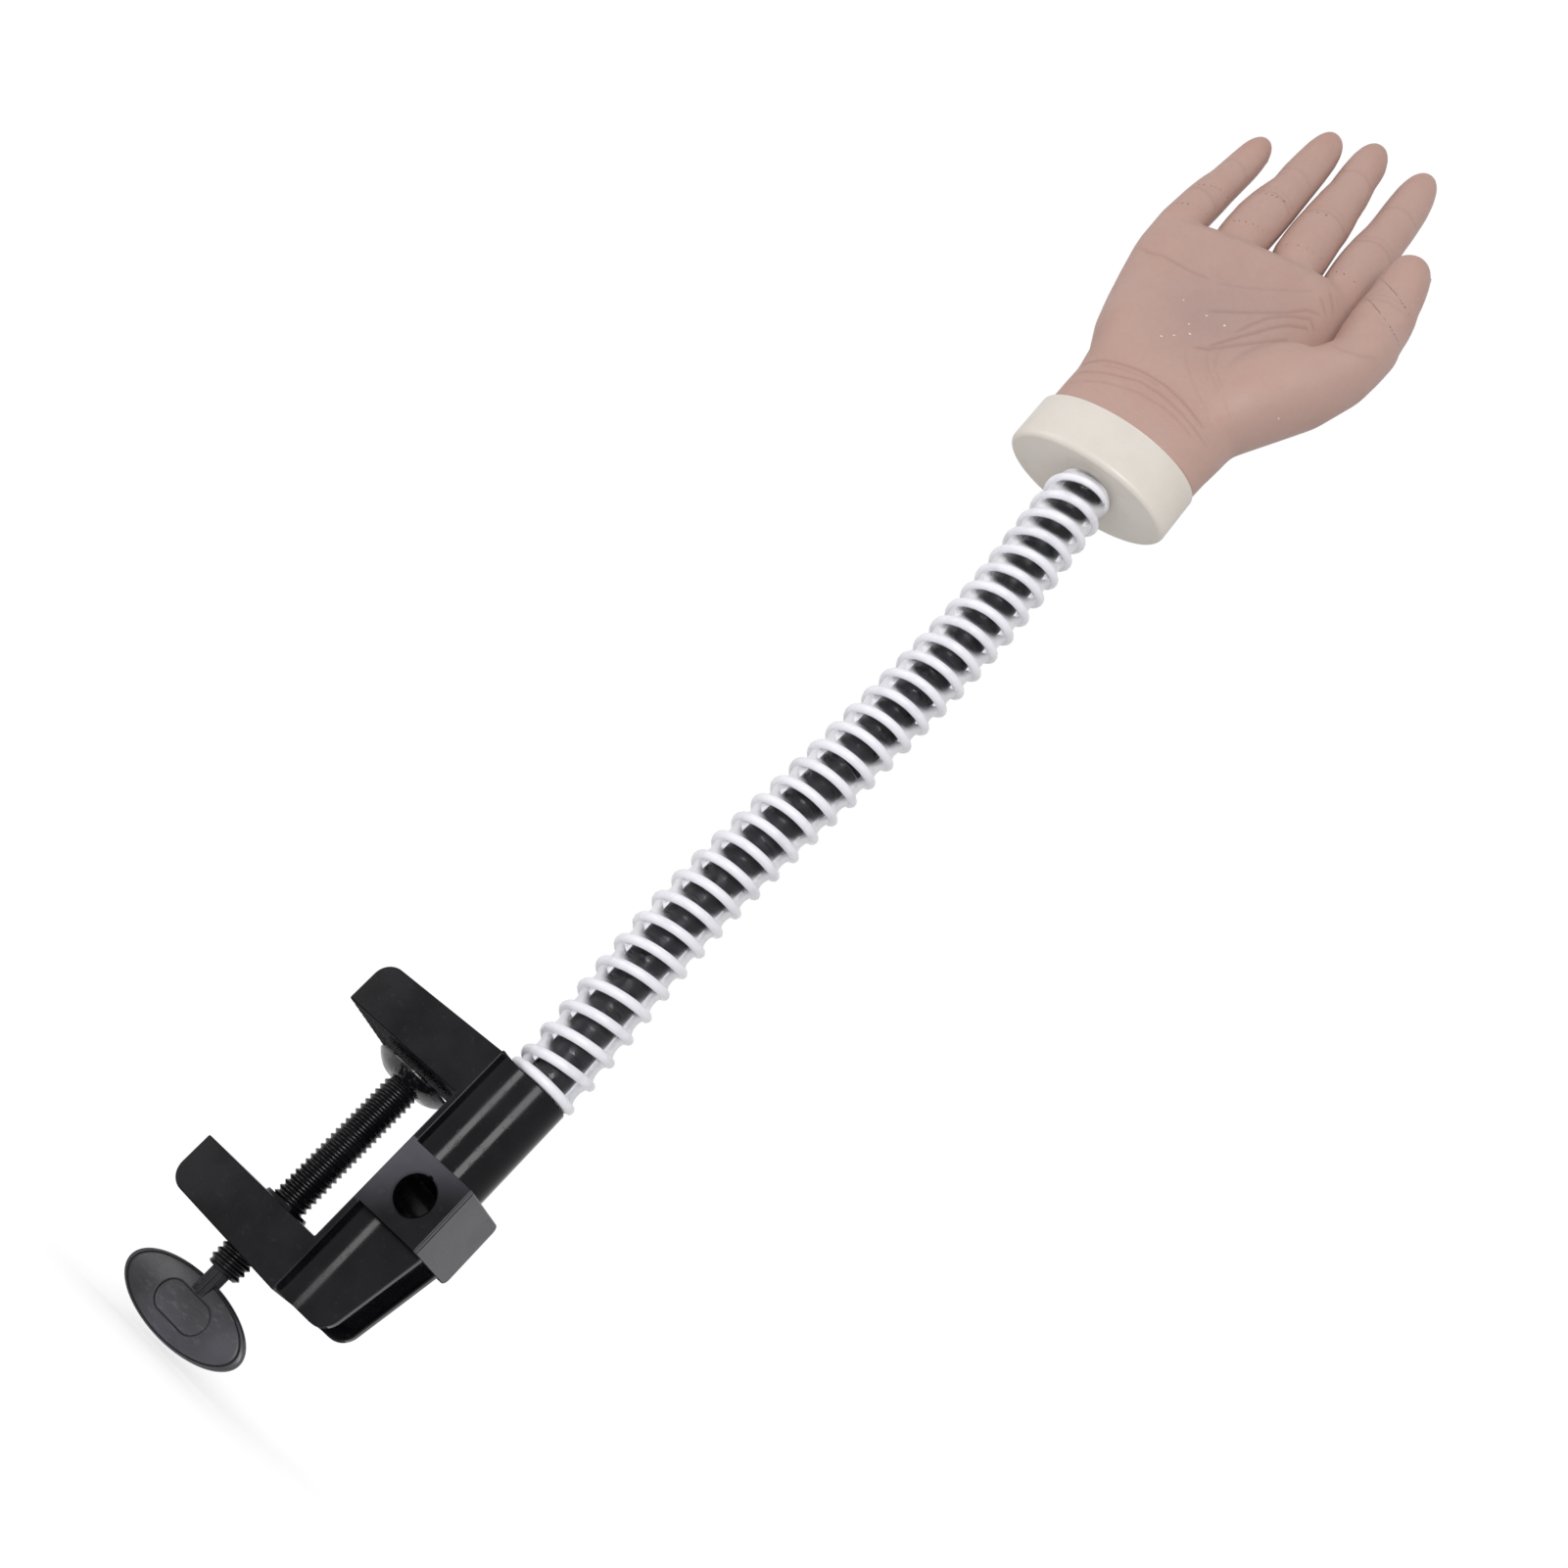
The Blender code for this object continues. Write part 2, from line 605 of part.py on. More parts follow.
def make_screw(axis):
    top = SCREW_SHOULDER + SCREW_TIP_LENGTH
    chamfer = (SCREW_RADIUS - STUB_RADIUS) / 2
    profile = [(0, top), (SCREW_TIP_RADIUS, top), (SCREW_TIP_RADIUS, SCREW_SHOULDER),
               (SCREW_RADIUS - chamfer, SCREW_SHOULDER), (SCREW_RADIUS, SCREW_SHOULDER - chamfer),
               (SCREW_RADIUS, SCREW_FOOT + chamfer), (SCREW_RADIUS - chamfer, SCREW_FOOT), (0, SCREW_FOOT)]
    shank = turned("screw", profile, False, place=SCREW_AXIS)
    stub_foot = HANDLE_TOP - HANDLE_SOCKET_DEPTH
    stub_half = (SCREW_FOOT + chamfer - stub_foot) / 2
    stub = plate(stub_outline(0), stub_half, SCREW_AXIS @ Matrix.Translation((0, 0, stub_foot + stub_half)))
    rivet_foot = PAD_TOP - TOUCH_GAP - RIVET_HEAD_HEIGHT - RIVET_SHANK_LENGTH
    hole = cylinder(RIVET_SHANK_RADIUS + TOUCH_GAP, rivet_foot - TOUCH_GAP, top + OVERRUN, SCREW_AXIS,
                    SMALL_STEPS)
    mesh = cut_from(combine("screw", [shank, stub]), [hole])
    piece("clamp_screw", mesh, finish("screw black", BLACK, 0.28), axis)

    head_top = PAD_TOP - TOUCH_GAP
    head_foot = head_top - RIVET_HEAD_HEIGHT + TOUCH_GAP
    rivet = [(0, head_top), (RIVET_HEAD_RADIUS, head_top), (RIVET_HEAD_RADIUS, head_foot),
             (RIVET_SHANK_RADIUS, head_foot), (RIVET_SHANK_RADIUS, rivet_foot), (0, rivet_foot)]
    mesh = turned("rivet", rivet, False, SMALL_STEPS, SCREW_AXIS)
    return piece("pad_rivet", mesh, finish("rivet steel", STEEL, 0.35, 1.0), axis)


def make_handle(axis):
    """Oval paddle: a lens that thins to a rim, with a long recess in both faces."""
    half = HANDLE_THICKNESS / 2
    rim = HANDLE_RIM / 2
    radius = HANDLE_WIDTH / 2
    upper = [(radius * place, half - (half - rim) * fall) for place, fall in HANDLE_LENS_SHARES]
    profile = upper + [(r, -z) for r, z in reversed(upper)]
    squeeze = Matrix.Diagonal((1, HANDLE_HEIGHT / HANDLE_WIDTH, 1, 1))
    place = Matrix.Translation((-SCREW_SETBACK, 0, HANDLE_CENTRE)) @ SIDE_ON
    lens = turned("lens", profile, False, 32, place @ squeeze)
    end = HANDLE_RECESS_HEIGHT / 2
    run = HANDLE_RECESS_WIDTH / 2 - end
    outline = arc((run, 0), end, -90, 90, 8) + arc((-run, 0), end, 90, 270, 8)
    floor = half - HANDLE_RECESS_DEPTH
    recesses = [plate(outline, OVERRUN / 2, place @ Matrix.Translation((0, 0, side * (floor + OVERRUN / 2))))
                for side in (-1, 1)]
    socket_foot = HANDLE_TOP - HANDLE_SOCKET_DEPTH - TOUCH_GAP
    socket_half = (HANDLE_TOP + OVERRUN - socket_foot) / 2
    socket = plate(stub_outline(TOUCH_GAP), socket_half,
                   SCREW_AXIS @ Matrix.Translation((0, 0, socket_foot + socket_half)))
    mesh = cut_from(lens, [*recesses, socket])
    return piece("screw_handle", mesh, finish("handle black", BLACK, 0.26), axis)


# Neck


def neck_knots():
    """Places and slopes of the neck's middle line, with the hand's own lean at its end."""
    heights = [NECK_RISE * share for share in NECK_RISE_SHARES]
    places = [Vector((TUBE_RADIUS + sway, 0, MOUTH + height)) for sway, height in zip(NECK_SWAYS, heights)]
    slopes = [Vector((0, 0, 1))]
    for k in range(1, len(heights) - 1):
        slopes.append((places[k + 1] - places[k - 1]) / (heights[k + 1] - heights[k - 1]))
    end = hand_turn() @ Vector((0, 0, 1))
    slopes.append(end / end.z)
    return heights, places, slopes


def neck_point(height):
    """Place and direction of the neck's middle line at a height above the socket's mouth."""
    heights, places, slopes = neck_knots()
    if height <= 0:
        return places[0] + slopes[0] * height, slopes[0]
    if height >= NECK_RISE:
        return places[-1] + slopes[-1] * (height - NECK_RISE), slopes[-1].normalized()
    k = max(i for i in range(len(heights) - 1) if heights[i] <= height)
    span = heights[k + 1] - heights[k]
    s = (height - heights[k]) / span
    rise, fall = 3 * s * s - 2 * s ** 3, 1 - 3 * s * s + 2 * s ** 3
    start, end = s ** 3 - 2 * s * s + s, s ** 3 - s * s
    point = fall * places[k] + rise * places[k + 1] + span * (start * slopes[k] + end * slopes[k + 1])
    along = (6 * s - 6 * s * s) / span * (places[k + 1] - places[k])
    along += (3 * s * s - 4 * s + 1) * slopes[k] + (3 * s * s - 2 * s) * slopes[k + 1]
    return point, along.normalized()


def neck_line(low, high, count):
    return [neck_point(low + (high - low) * k / (count - 1))[0] for k in range(count)]


def spiral_points():
    """Right-handed helix round the sleeve, and the least gap between its turns, which is printed."""
    wind = (SLEEVE_RADIUS + TOUCH_GAP + SPIRAL_WIRE_RADIUS) / math.cos(math.pi / SPIRAL_POINTS_PER_TURN)
    low = SPIRAL_WIRE_RADIUS + 2 * TOUCH_GAP
    high = NECK_RISE - low - TOUCH_GAP
    count = SPIRAL_TURNS * SPIRAL_POINTS_PER_TURN + 1
    points = []
    for k in range(count):
        middle, along = neck_point(low + (high - low) * k / (count - 1))
        turn = 2 * math.pi * k / SPIRAL_POINTS_PER_TURN
        side = along.cross(Vector((1, 0, 0))).normalized()
        out = side.cross(along)
        points.append(middle + wind * (math.cos(turn) * out + math.sin(turn) * side))
    cloud = np.array(points)
    apart = np.linalg.norm(cloud[:-SPIRAL_POINTS_PER_TURN] - cloud[SPIRAL_POINTS_PER_TURN:], axis=1)
    gap = apart.min() - 2 * SPIRAL_WIRE_RADIUS
    print("least gap between turns of the spiral, mm:", round(gap * 1000, 2))
    return points


def make_neck(foot_axis, neck_axis, top_axis):
    collar_top = MOUTH + TOUCH_GAP + FERRULE_COLLAR_HEIGHT
    foot = MOUTH - SOCKET_DEPTH + TOUCH_GAP
    profile = [(0, collar_top), (FERRULE_COLLAR_RADIUS, collar_top),
               (FERRULE_COLLAR_RADIUS, MOUTH + TOUCH_GAP), (FERRULE_RADIUS, MOUTH + TOUCH_GAP),
               (FERRULE_RADIUS, foot), (0, foot)]
    piece("lower_ferrule", turned("ferrule", profile, False, SMALL_STEPS * 2, TUBE_AXIS),
          finish("ferrule steel", STEEL, 0.35, 1.0), foot_axis)

    core_low = TOUCH_GAP * 2 + FERRULE_COLLAR_HEIGHT
    core_high = NECK_RISE + PLUG_CORE_DEPTH
    core = rod(neck_line(core_low, core_high, CORE_RINGS), CORE_RADIUS, 3)
    piece("neck_core", core, finish("gooseneck black", BLACK, 0.35), neck_axis)

    sleeve = rod(neck_line(TOUCH_GAP, NECK_RISE - TOUCH_GAP, SLEEVE_RINGS), SLEEVE_RADIUS, 4)
    bore = rod(neck_line(TOUCH_GAP - OVERRUN, NECK_RISE + OVERRUN, SLEEVE_RINGS + 3), SLEEVE_BORE_RADIUS, 4)
    piece("hose_sleeve", cut_from(sleeve, [bore]), finish("sleeve clear", CLEAR, 0.12), neck_axis)
    piece("hose_spiral", rod(spiral_points(), SPIRAL_WIRE_RADIUS, 1),
          finish("spiral white", WHITE, 0.25), neck_axis)

    hand = hand_place()
    low = PLUG_CORE_DEPTH / (hand_turn() @ Vector((0, 0, 1))).z + TOUCH_GAP
    neck_foot = low + FERRULE_COLLAR_HEIGHT
    nut_top = nut_foot() + PLUG_NUT_HEIGHT
    top = nut_top + TOUCH_GAP
    profile = [(0, top), (FERRULE_RADIUS, top), (FERRULE_RADIUS, neck_foot),
               (FERRULE_COLLAR_RADIUS, neck_foot), (FERRULE_COLLAR_RADIUS, low), (0, low)]
    piece("upper_ferrule", turned("ferrule", profile, False, SMALL_STEPS * 2, hand),
          finish("upper ferrule steel", STEEL, 0.35, 1.0), top_axis)
    nut = cylinder(NUT_RADIUS, nut_foot(), nut_top, hand, 6)
    hole = cylinder(FERRULE_RADIUS + TOUCH_GAP, nut_foot() - OVERRUN, nut_top + OVERRUN, hand)
    piece("plug_nut", cut_from(nut, [hole]), finish("nut steel", STEEL, 0.30, 1.0), top_axis)


# Hand. Its frame has the palm's breadth along X, its back towards +Y and the fingers along +Z


def hand_turn():
    lean = Matrix.Rotation(math.radians(-NECK_LEAN_DEG), 4, "Y")
    back = Matrix.Rotation(math.radians(-NECK_BACK_DEG), 4, "X")
    return lean @ back @ Matrix.Rotation(math.radians(HAND_TURN_DEG), 4, "Z")


def hand_place():
    return Matrix.Translation(neck_point(NECK_RISE)[0]) @ hand_turn()


def spigot_top():
    return PLUG_HEIGHT + SPIGOT_HEIGHT


def nut_foot():
    return spigot_top() + PLATE_FOOT_HEIGHT + 2 * TOUCH_GAP


def finger_places():
    """Root frame, length, half widths, curl, middle share, cut sizes and limits of each finger."""
    places = {}
    for name, (side, height, tip_side, tip_height, root, tip, curl, knuckle) in FINGERS.items():
        start = Vector((side, FINGER_DEPTH, height))
        along = Vector((tip_side, FINGER_DEPTH, tip_height)) - start
        turn = Matrix.Rotation(math.atan2(along.x, along.z), 4, "Y")
        cut_half_width = root * FINGER_CUT_SHARE + FINGER_CUT_MARGIN
        places[name] = (Matrix.Translation(start) @ turn, along.length, (root, tip), curl,
                        FINGER_MIDDLE_SHARE, cut_half_width, knuckle, (FLEX_DEG, EXTEND_DEG))
    start = Vector(THUMB_ROOT)
    along = Vector(THUMB_TIP) - start
    turn = Vector((0, 0, 1)).rotation_difference(along).to_matrix().to_4x4()
    roll = Matrix.Rotation(math.radians(THUMB_ROLL_DEG), 4, "Z")
    places["thumb"] = (Matrix.Translation(start) @ turn @ roll, along.length, THUMB_HALF_WIDTHS, THUMB_CURL,
                       THUMB_MIDDLE_SHARE, THUMB_CUT_HALF_WIDTH, THUMB_KNUCKLE_RADIUS,
                       (THUMB_FLEX_DEG, THUMB_EXTEND_DEG))
    return places


def finger_half_width(widths, share):
    """Half width of a finger at a share of its length, between the rings of the table."""
    shares = [s for s, _ in FINGER_RING_SHARES]
    values = [v for _, v in FINGER_RING_SHARES]
    taper = widths[0] + (widths[1] - widths[0]) * min(max(share, 0), 1)
    return taper * float(np.interp(share, shares, values))


def loft(rings):
    """Closed skin over rings of unlike size, each given as a list of points."""
    work = bmesh.new()
    rows = [[work.verts.new(point) for point in ring] for ring in rings]
    count = len(rings[0])
    for low, high in zip(rows, rows[1:]):
        for k in range(count):
            work.faces.new((low[k], low[(k + 1) % count], high[(k + 1) % count], high[k]))
    work.faces.new(list(reversed(rows[0])))
    work.faces.new(rows[-1])
    bmesh.ops.recalc_face_normals(work, faces=work.faces)
    mesh = bpy.data.meshes.new("loft")
    work.to_mesh(mesh)
    work.free()
    return mesh


def oval(centre, half_width, half_depth, count, squareness=2.0, slope=0.0):
    """Ring of a rounded outline, level or sloped towards one side."""
    points = []
    for k in range(count):
        turn = 2 * math.pi * k / count
        c, s = math.cos(turn), math.sin(turn)
        x = half_width * math.copysign(abs(c) ** (2 / squareness), c)
        y = half_depth * math.copysign(abs(s) ** (2 / squareness), s)
        points.append(Vector((centre[0] + x, centre[1] + y, centre[2] + x * slope)))
    return points


def hand_skin():
    """Whole hand as one soft skin: palm, ball of the thumb and five fingers grown together."""
    slope = math.tan(math.radians(PALM_TOP_SLOPE_DEG))
    top = PALM_RINGS[-1][0]
    rings = []
    for height, side, depth, half_width, half_depth in PALM_RINGS:
        share = max(0.0, (height - PALM_SLOPE_START) / (top - PALM_SLOPE_START))
        rings.append(oval((side, depth, height), half_width, half_depth, 32, PALM_SQUARENESS, slope * share))
    height, side, depth, half_width, half_depth = PALM_RINGS[-1]
    close_width, close_depth = PALM_CLOSE_SHARES
    rings.append(oval((side, depth, height + half_depth / 2), half_width * close_width,
                      half_depth * close_depth, 32, PALM_SQUARENESS, slope))
    parts = [loft(rings)]
    parts.append(loft([oval((side, depth, height), half_width, half_depth, 20)
                       for height, side, depth, half_width, half_depth in THENAR_RINGS]))
    for place, length, widths, curl, *_ in finger_places().values():
        rings = []
        for share, _ in FINGER_RING_SHARES:
            width = finger_half_width(widths, share)
            bend = -curl * max(share, 0) ** 2
            ring = oval((0, bend, length * share), width, width * FINGER_DEPTH_SHARE, 20, FINGER_SQUARENESS)
            rings.append([place @ point for point in ring])
        parts.append(loft(rings))
    joined = bmesh.new()
    for mesh in parts:
        joined.from_mesh(mesh)
    mesh = bpy.data.meshes.new("skin")
    joined.to_mesh(mesh)
    joined.free()
    obj = add_object("skin", mesh)
    remesh = obj.modifiers.new("grow", "REMESH")
    remesh.mode = "VOXEL"
    remesh.voxel_size = SKIN_VOXEL
    smooth = obj.modifiers.new("soften", "SMOOTH")
    smooth.factor = 0.5
    smooth.iterations = SKIN_SMOOTH_ROUNDS
    thin = obj.modifiers.new("thin", "DECIMATE")
    thin.ratio = SKIN_KEEP_SHARE
    settle(obj)
    mesh = obj.data
    bpy.data.objects.remove(obj, do_unlink=True)
    far = PLUG_HALF_WIDTH * 2
    below = box((-far, -far, -far), (far, far, PLUG_HEIGHT + TOUCH_GAP))
    return cut_skin(mesh, [below])


def finger_zone(place, half_width, radius, reach, clearance, depth):
    """Space that a finger's length takes: a round knuckle and all that lies beyond it."""
    round_back = radius + clearance
    outline = [(depth, reach), (-depth, reach), (-depth, -clearance)]
    if depth > round_back:
        outline.append((-round_back, -clearance))
    outline += arc((0, 0), round_back, 180, 360, 14)[1:-1]
    if depth > round_back:
        outline.append((round_back, -clearance))
    outline.append((depth, -clearance))
    flat = place @ Matrix.Rotation(math.radians(90), 4, "Y") @ Matrix.Rotation(math.radians(90), 4, "Z")
    return plate(outline, half_width + clearance, flat)


def joint_pocket(place, limits, channel_high):
    """Room inside a finger's skin for the lapped bones and for the lug's swing."""
    side = BONE_WIDTH / 2 + TOUCH_GAP
    half = BONE_THICKNESS / 2 + TOUCH_GAP
    round_room = LAP_RADIUS + TOUCH_GAP
    far = 2 * THUMB_KNUCKLE_RADIUS
    flat = place @ Matrix.Rotation(math.radians(90), 4, "Y") @ Matrix.Rotation(math.radians(90), 4, "Z")
    room = cylinder(round_room, -side, side, place @ Matrix.Rotation(math.radians(90), 4, "Y"), 16)
    spread = []
    for swing in (-limits[0], limits[1]):
        turn = math.radians(-90 + swing)
        along = Vector((math.cos(turn), math.sin(turn)))
        across = Vector((-along.y, along.x)) * half
        edge = across if swing > 0 else -across
        spread.append((edge, along * far + edge))
    fan = [spread[0][0], spread[0][1], spread[1][1], spread[1][0]]
    fan_plate = plate([(p.x, p.y) for p in fan], side - WELD, flat)
    channel = box((-side, -half, 0), (side, half, channel_high), place)
    return [room, fan_plate, channel]


def bone_outline(length, tip):
    """Lapped bar seen from above: one cheek at its root, the other cheek at its far end."""
    side = BONE_WIDTH / 2
    lap = LAP_GAP / 2
    end = BONE_THICKNESS / 2
    outline = [(lap, -end), (side, -end)]
    if tip:
        outline += [(side, length), (-side, length)]
    else:
        outline += [(side, length - LAP_SHOULDER), (-lap, length - LAP_SHOULDER), (-lap, length + end),
                    (-side, length + end)]
    outline += [(-side, LAP_SHOULDER), (lap, LAP_SHOULDER)]
    return outline


def lug(place, length, clearance):
    """Flat bar that reaches from the palm plate to a knuckle pin."""
    side = BONE_WIDTH / 2
    half = BONE_THICKNESS / 2
    return box((-side - clearance, -half - clearance, -length), (-LAP_GAP / 2 + clearance, half + clearance,
               half + clearance), place)


def lug_post(place, clearance):
    """Upright bar from the palm plate to the foot of a finger's lug."""
    foot = place @ Vector((-(BONE_WIDTH + LAP_GAP) / 4, 0, -LUG_LENGTH))
    side = (BONE_WIDTH - LAP_GAP) / 4 + clearance
    half = BONE_THICKNESS / 2 - TOUCH_GAP + clearance
    return box((foot.x - side, foot.y - half, PLATE_TOP - LUG_OVERLAP),
               (foot.x + side, foot.y + half, foot.z + OVERRUN))


def palm_core(clearance):
    """Foot, plate and five lugs of the armature, or the room for them in the skin."""
    low = spigot_top() + TOUCH_GAP
    foot_sizes = (PLATE_FOOT_HALF_WIDTH + clearance, PLATE_FOOT_HALF_DEPTH + clearance)
    foot = loft([oval((0, 0, height), *foot_sizes, 24)
                 for height in (low - clearance, low + PLATE_FOOT_HEIGHT + clearance)])
    neck = PLATE_NECK_WIDTH / 2 + clearance
    roots = [side for side, *_ in FINGERS.values()]
    left = min(roots) - PLATE_SIDE_MARGIN - clearance
    right = max(roots) + PLATE_SIDE_MARGIN + clearance
    outline = [(-neck, low + PLATE_FOOT_HEIGHT / 2), (neck, low + PLATE_FOOT_HEIGHT / 2),
               (right, PLATE_SHOULDER), (right, PLATE_TOP + clearance), (left, PLATE_TOP + clearance),
               (left, PLATE_SHOULDER)]
    middle = Matrix.Translation((0, FINGER_DEPTH, 0)) @ SIDE_ON
    sheet = plate(outline, PLATE_THICKNESS / 2 + clearance, middle)
    places = {name: place for name, (place, *_) in finger_places().items()}
    lugs = []
    for name, place in places.items():
        lugs.append(lug(place, THUMB_LUG_LENGTH if name == "thumb" else LUG_LENGTH, clearance))
        if name != "thumb":
            lugs.append(lug_post(place, clearance))
    wrist = places["thumb"] @ Vector((-(BONE_WIDTH + LAP_GAP) / 4, 0, -THUMB_LUG_LENGTH + THUMB_ARM_RADIUS))
    arm = rod([Vector(THUMB_ARM_ROOT), Vector(THUMB_ARM_ELBOW), wrist], THUMB_ARM_RADIUS + clearance, 2)
    return combine("core", [foot, sheet, arm, *lugs])


def make_plug(axis, hand):
    """Oval wrist disc with a spigot that the skin is stretched over."""
    width, depth, edge = PLUG_HALF_WIDTH, PLUG_HALF_DEPTH, PLUG_ROUND
    rings = []
    for k in range(5):
        turn = math.radians(90 * k / 4)
        inset = edge * (1 - math.sin(turn))
        rings.append(oval((0, 0, edge * (1 - math.cos(turn))), width - inset, depth - inset, 40))
    rings.append(oval((0, 0, PLUG_HEIGHT - TOUCH_GAP), width, depth, 40))
    rings.append(oval((0, 0, PLUG_HEIGHT), width - TOUCH_GAP, depth - TOUCH_GAP, 40))
    body = loft(rings)
    inset = SPIGOT_INSET
    spigot = loft([oval((0, 0, height), width - inset, depth - inset, 32)
                   for height in (PLUG_HEIGHT - OVERRUN, spigot_top())])
    core_top = PLUG_CORE_DEPTH + 3 * TOUCH_GAP + FERRULE_COLLAR_HEIGHT
    core_room = cylinder(CORE_RADIUS + RUN_GAP, -OVERRUN, core_top)
    bore = cylinder(FERRULE_RADIUS + RUN_GAP, -OVERRUN, spigot_top() + OVERRUN)
    mesh = cut_from(combine("plug", [body, spigot]), [core_room, bore])
    mesh.transform(hand)
    return piece("wrist_plug", mesh, finish("plug ivory", IVORY, 0.38), axis)


def make_palm(skin, axis, hand):
    plate_mesh = palm_core(0)
    holes = [cylinder(FERRULE_RADIUS + RUN_GAP, spigot_top() - OVERRUN, nut_foot() + OVERRUN)]
    for place, *_ in finger_places().values():
        across = place @ Matrix.Rotation(math.radians(90), 4, "Y")
        holes.append(cylinder(PIN_RADIUS + TOUCH_GAP, -BONE_WIDTH, BONE_WIDTH, across, PIN_STEPS))
    notch = cylinder(NUT_RADIUS + RUN_GAP, nut_foot() - TOUCH_GAP, nut_foot() + PLUG_NUT_HEIGHT + NUT_ROOM)
    mesh = cut_from(plate_mesh, [*holes, notch])
    mesh.transform(hand)
    piece("palm_plate", mesh, finish("armature white", BONE, 0.5), axis)

    inset = SPIGOT_INSET - TOUCH_GAP
    wrist = loft([oval((0, 0, height), PLUG_HALF_WIDTH - inset, PLUG_HALF_DEPTH - inset, 32)
                  for height in (PLUG_HEIGHT - OVERRUN, spigot_top() + TOUCH_GAP)])
    nut_room_top = nut_foot() + PLUG_NUT_HEIGHT + NUT_ROOM + TOUCH_GAP
    nut_room = cylinder(NUT_RADIUS + RUN_GAP, spigot_top(), nut_room_top)
    mesh = cut_skin(skin, [wrist, nut_room, palm_core(TOUCH_GAP)])
    mesh.transform(hand)
    piece("palm_skin", mesh, finish("palm silicone", SKIN, 0.55), axis)


def nail_outline(centre, radius, thickness, clearance, rise):
    """Section of a nail: an arc with two faces."""
    half_arc = NAIL_ARC_DEG / 2 + math.degrees(clearance / radius)
    outer = arc((0, centre), radius + rise, 90 - half_arc, 90 + half_arc, 8)
    inner = arc((0, centre), radius - thickness - clearance, 90 + half_arc, 90 - half_arc, 8)
    return outer + inner


def make_finger(name, spec, zone_mesh, palm_axis, hand):
    """Two lengths of skin, two bones, two pins and a nail, on two hinges."""
    place, length, widths, curl, middle_share, _, _, limits = spec
    middle = length * middle_share
    middle_place = place @ Matrix.Translation((0, 0, middle))
    half = finger_half_width(widths, middle_share)
    radius = half * FINGER_DEPTH_SHARE * MIDDLE_KNUCKLE_SHARE
    wide = half + widths[0]
    root_axis = axis_empty(name + "_root_axis", hand @ place, palm_axis)
    tip_axis = axis_empty(name + "_middle_axis", hand @ middle_place, root_axis)

    far = length
    zone = finger_zone(middle_place, wide, radius, far, 0, wide)
    wide_zone = finger_zone(middle_place, wide, radius, far, RUN_GAP, wide)
    distal = cut_skin(zone_mesh.copy(), [zone], "INTERSECT")
    proximal = cut_skin(zone_mesh, [wide_zone])
    bone_length = length * BONE_TIP_SHARE - middle
    proximal = cut_skin(proximal, joint_pocket(place, limits, length))
    distal = cut_skin(distal, joint_pocket(middle_place, limits, bone_length + TOUCH_GAP))

    share = (NAIL_START_SHARE + NAIL_END_SHARE) / 2
    tip_half = finger_half_width(widths, share) * FINGER_DEPTH_SHARE
    nail_radius = tip_half * NAIL_CURVE_SHARE
    centre = tip_half - curl * share ** 2 + NAIL_PROUD - nail_radius
    low, high = length * NAIL_START_SHARE, length * NAIL_END_SHARE
    nail_place = place @ Matrix.Translation((0, 0, (low + high) / 2))
    nail = plate(nail_outline(centre, nail_radius, NAIL_THICKNESS, 0, 0), (high - low) / 2, nail_place)
    seat = plate(nail_outline(centre, nail_radius, NAIL_THICKNESS, TOUCH_GAP, OVERRUN),
                 (high - low) / 2 + TOUCH_GAP, nail_place)
    distal = cut_skin(distal, [seat])

    for part, mesh, axis in (("proximal_skin", proximal, root_axis), ("distal_skin", distal, tip_axis)):
        mesh.transform(hand)
        piece(f"{name}_{part}", mesh, finish(f"{name} {part} silicone", SKIN, 0.55), axis)
    nail.transform(hand)
    piece(f"{name}_nail", nail, finish(f"{name} nail", NAIL, 0.25), tip_axis)

    bones = (("proximal_bone", place, middle, False, root_axis),
             ("distal_bone", middle_place, bone_length, True, tip_axis))
    for part, at, run, tip, axis in bones:
        mesh = plate(bone_outline(run, tip), BONE_THICKNESS / 2, at @ SIDE_ON)
        across = Matrix.Rotation(math.radians(90), 4, "Y")
        holes = [cylinder(PIN_RADIUS + TOUCH_GAP, -BONE_WIDTH, BONE_WIDTH, at @ across, PIN_STEPS)]
        if not tip:
            end = at @ Matrix.Translation((0, 0, run)) @ across
            holes.append(cylinder(PIN_RADIUS + TOUCH_GAP, -BONE_WIDTH, BONE_WIDTH, end, PIN_STEPS))
        mesh = cut_from(mesh, holes)
        mesh.transform(hand)
        piece(f"{name}_{part}", mesh, finish(f"{name} {part}", BONE, 0.5), axis)
        pin = cylinder(PIN_RADIUS, -BONE_WIDTH / 2, BONE_WIDTH / 2, at @ across, PIN_STEPS)
        pin.transform(hand)
        pin_name = f"{name}_{'middle' if tip else 'knuckle'}_pin"
        piece(pin_name, pin, finish(pin_name, STEEL, 0.3, 1.0), axis)


def make_hand(axis):
    hand = hand_place()
    make_plug(axis, hand)
    skin = hand_skin()
    zones = {}
    for name, (place, length, _, _, _, half_width, radius, _) in finger_places().items():
        depth = THUMB_KNUCKLE_RADIUS if name == "thumb" else 2 * THUMB_KNUCKLE_RADIUS
        zone = finger_zone(place, half_width, radius, 2 * length, 0, depth)
        wide_zone = finger_zone(place, half_width, radius, 2 * length, RUN_GAP, depth + RUN_GAP)
        zones[name] = cut_skin(skin.copy(), [zone], "INTERSECT")
        skin = cut_skin(skin, [wide_zone])
    make_palm(skin, axis, hand)
    for name, spec in finger_places().items():
        make_finger(name, spec, zones[name], axis, hand)


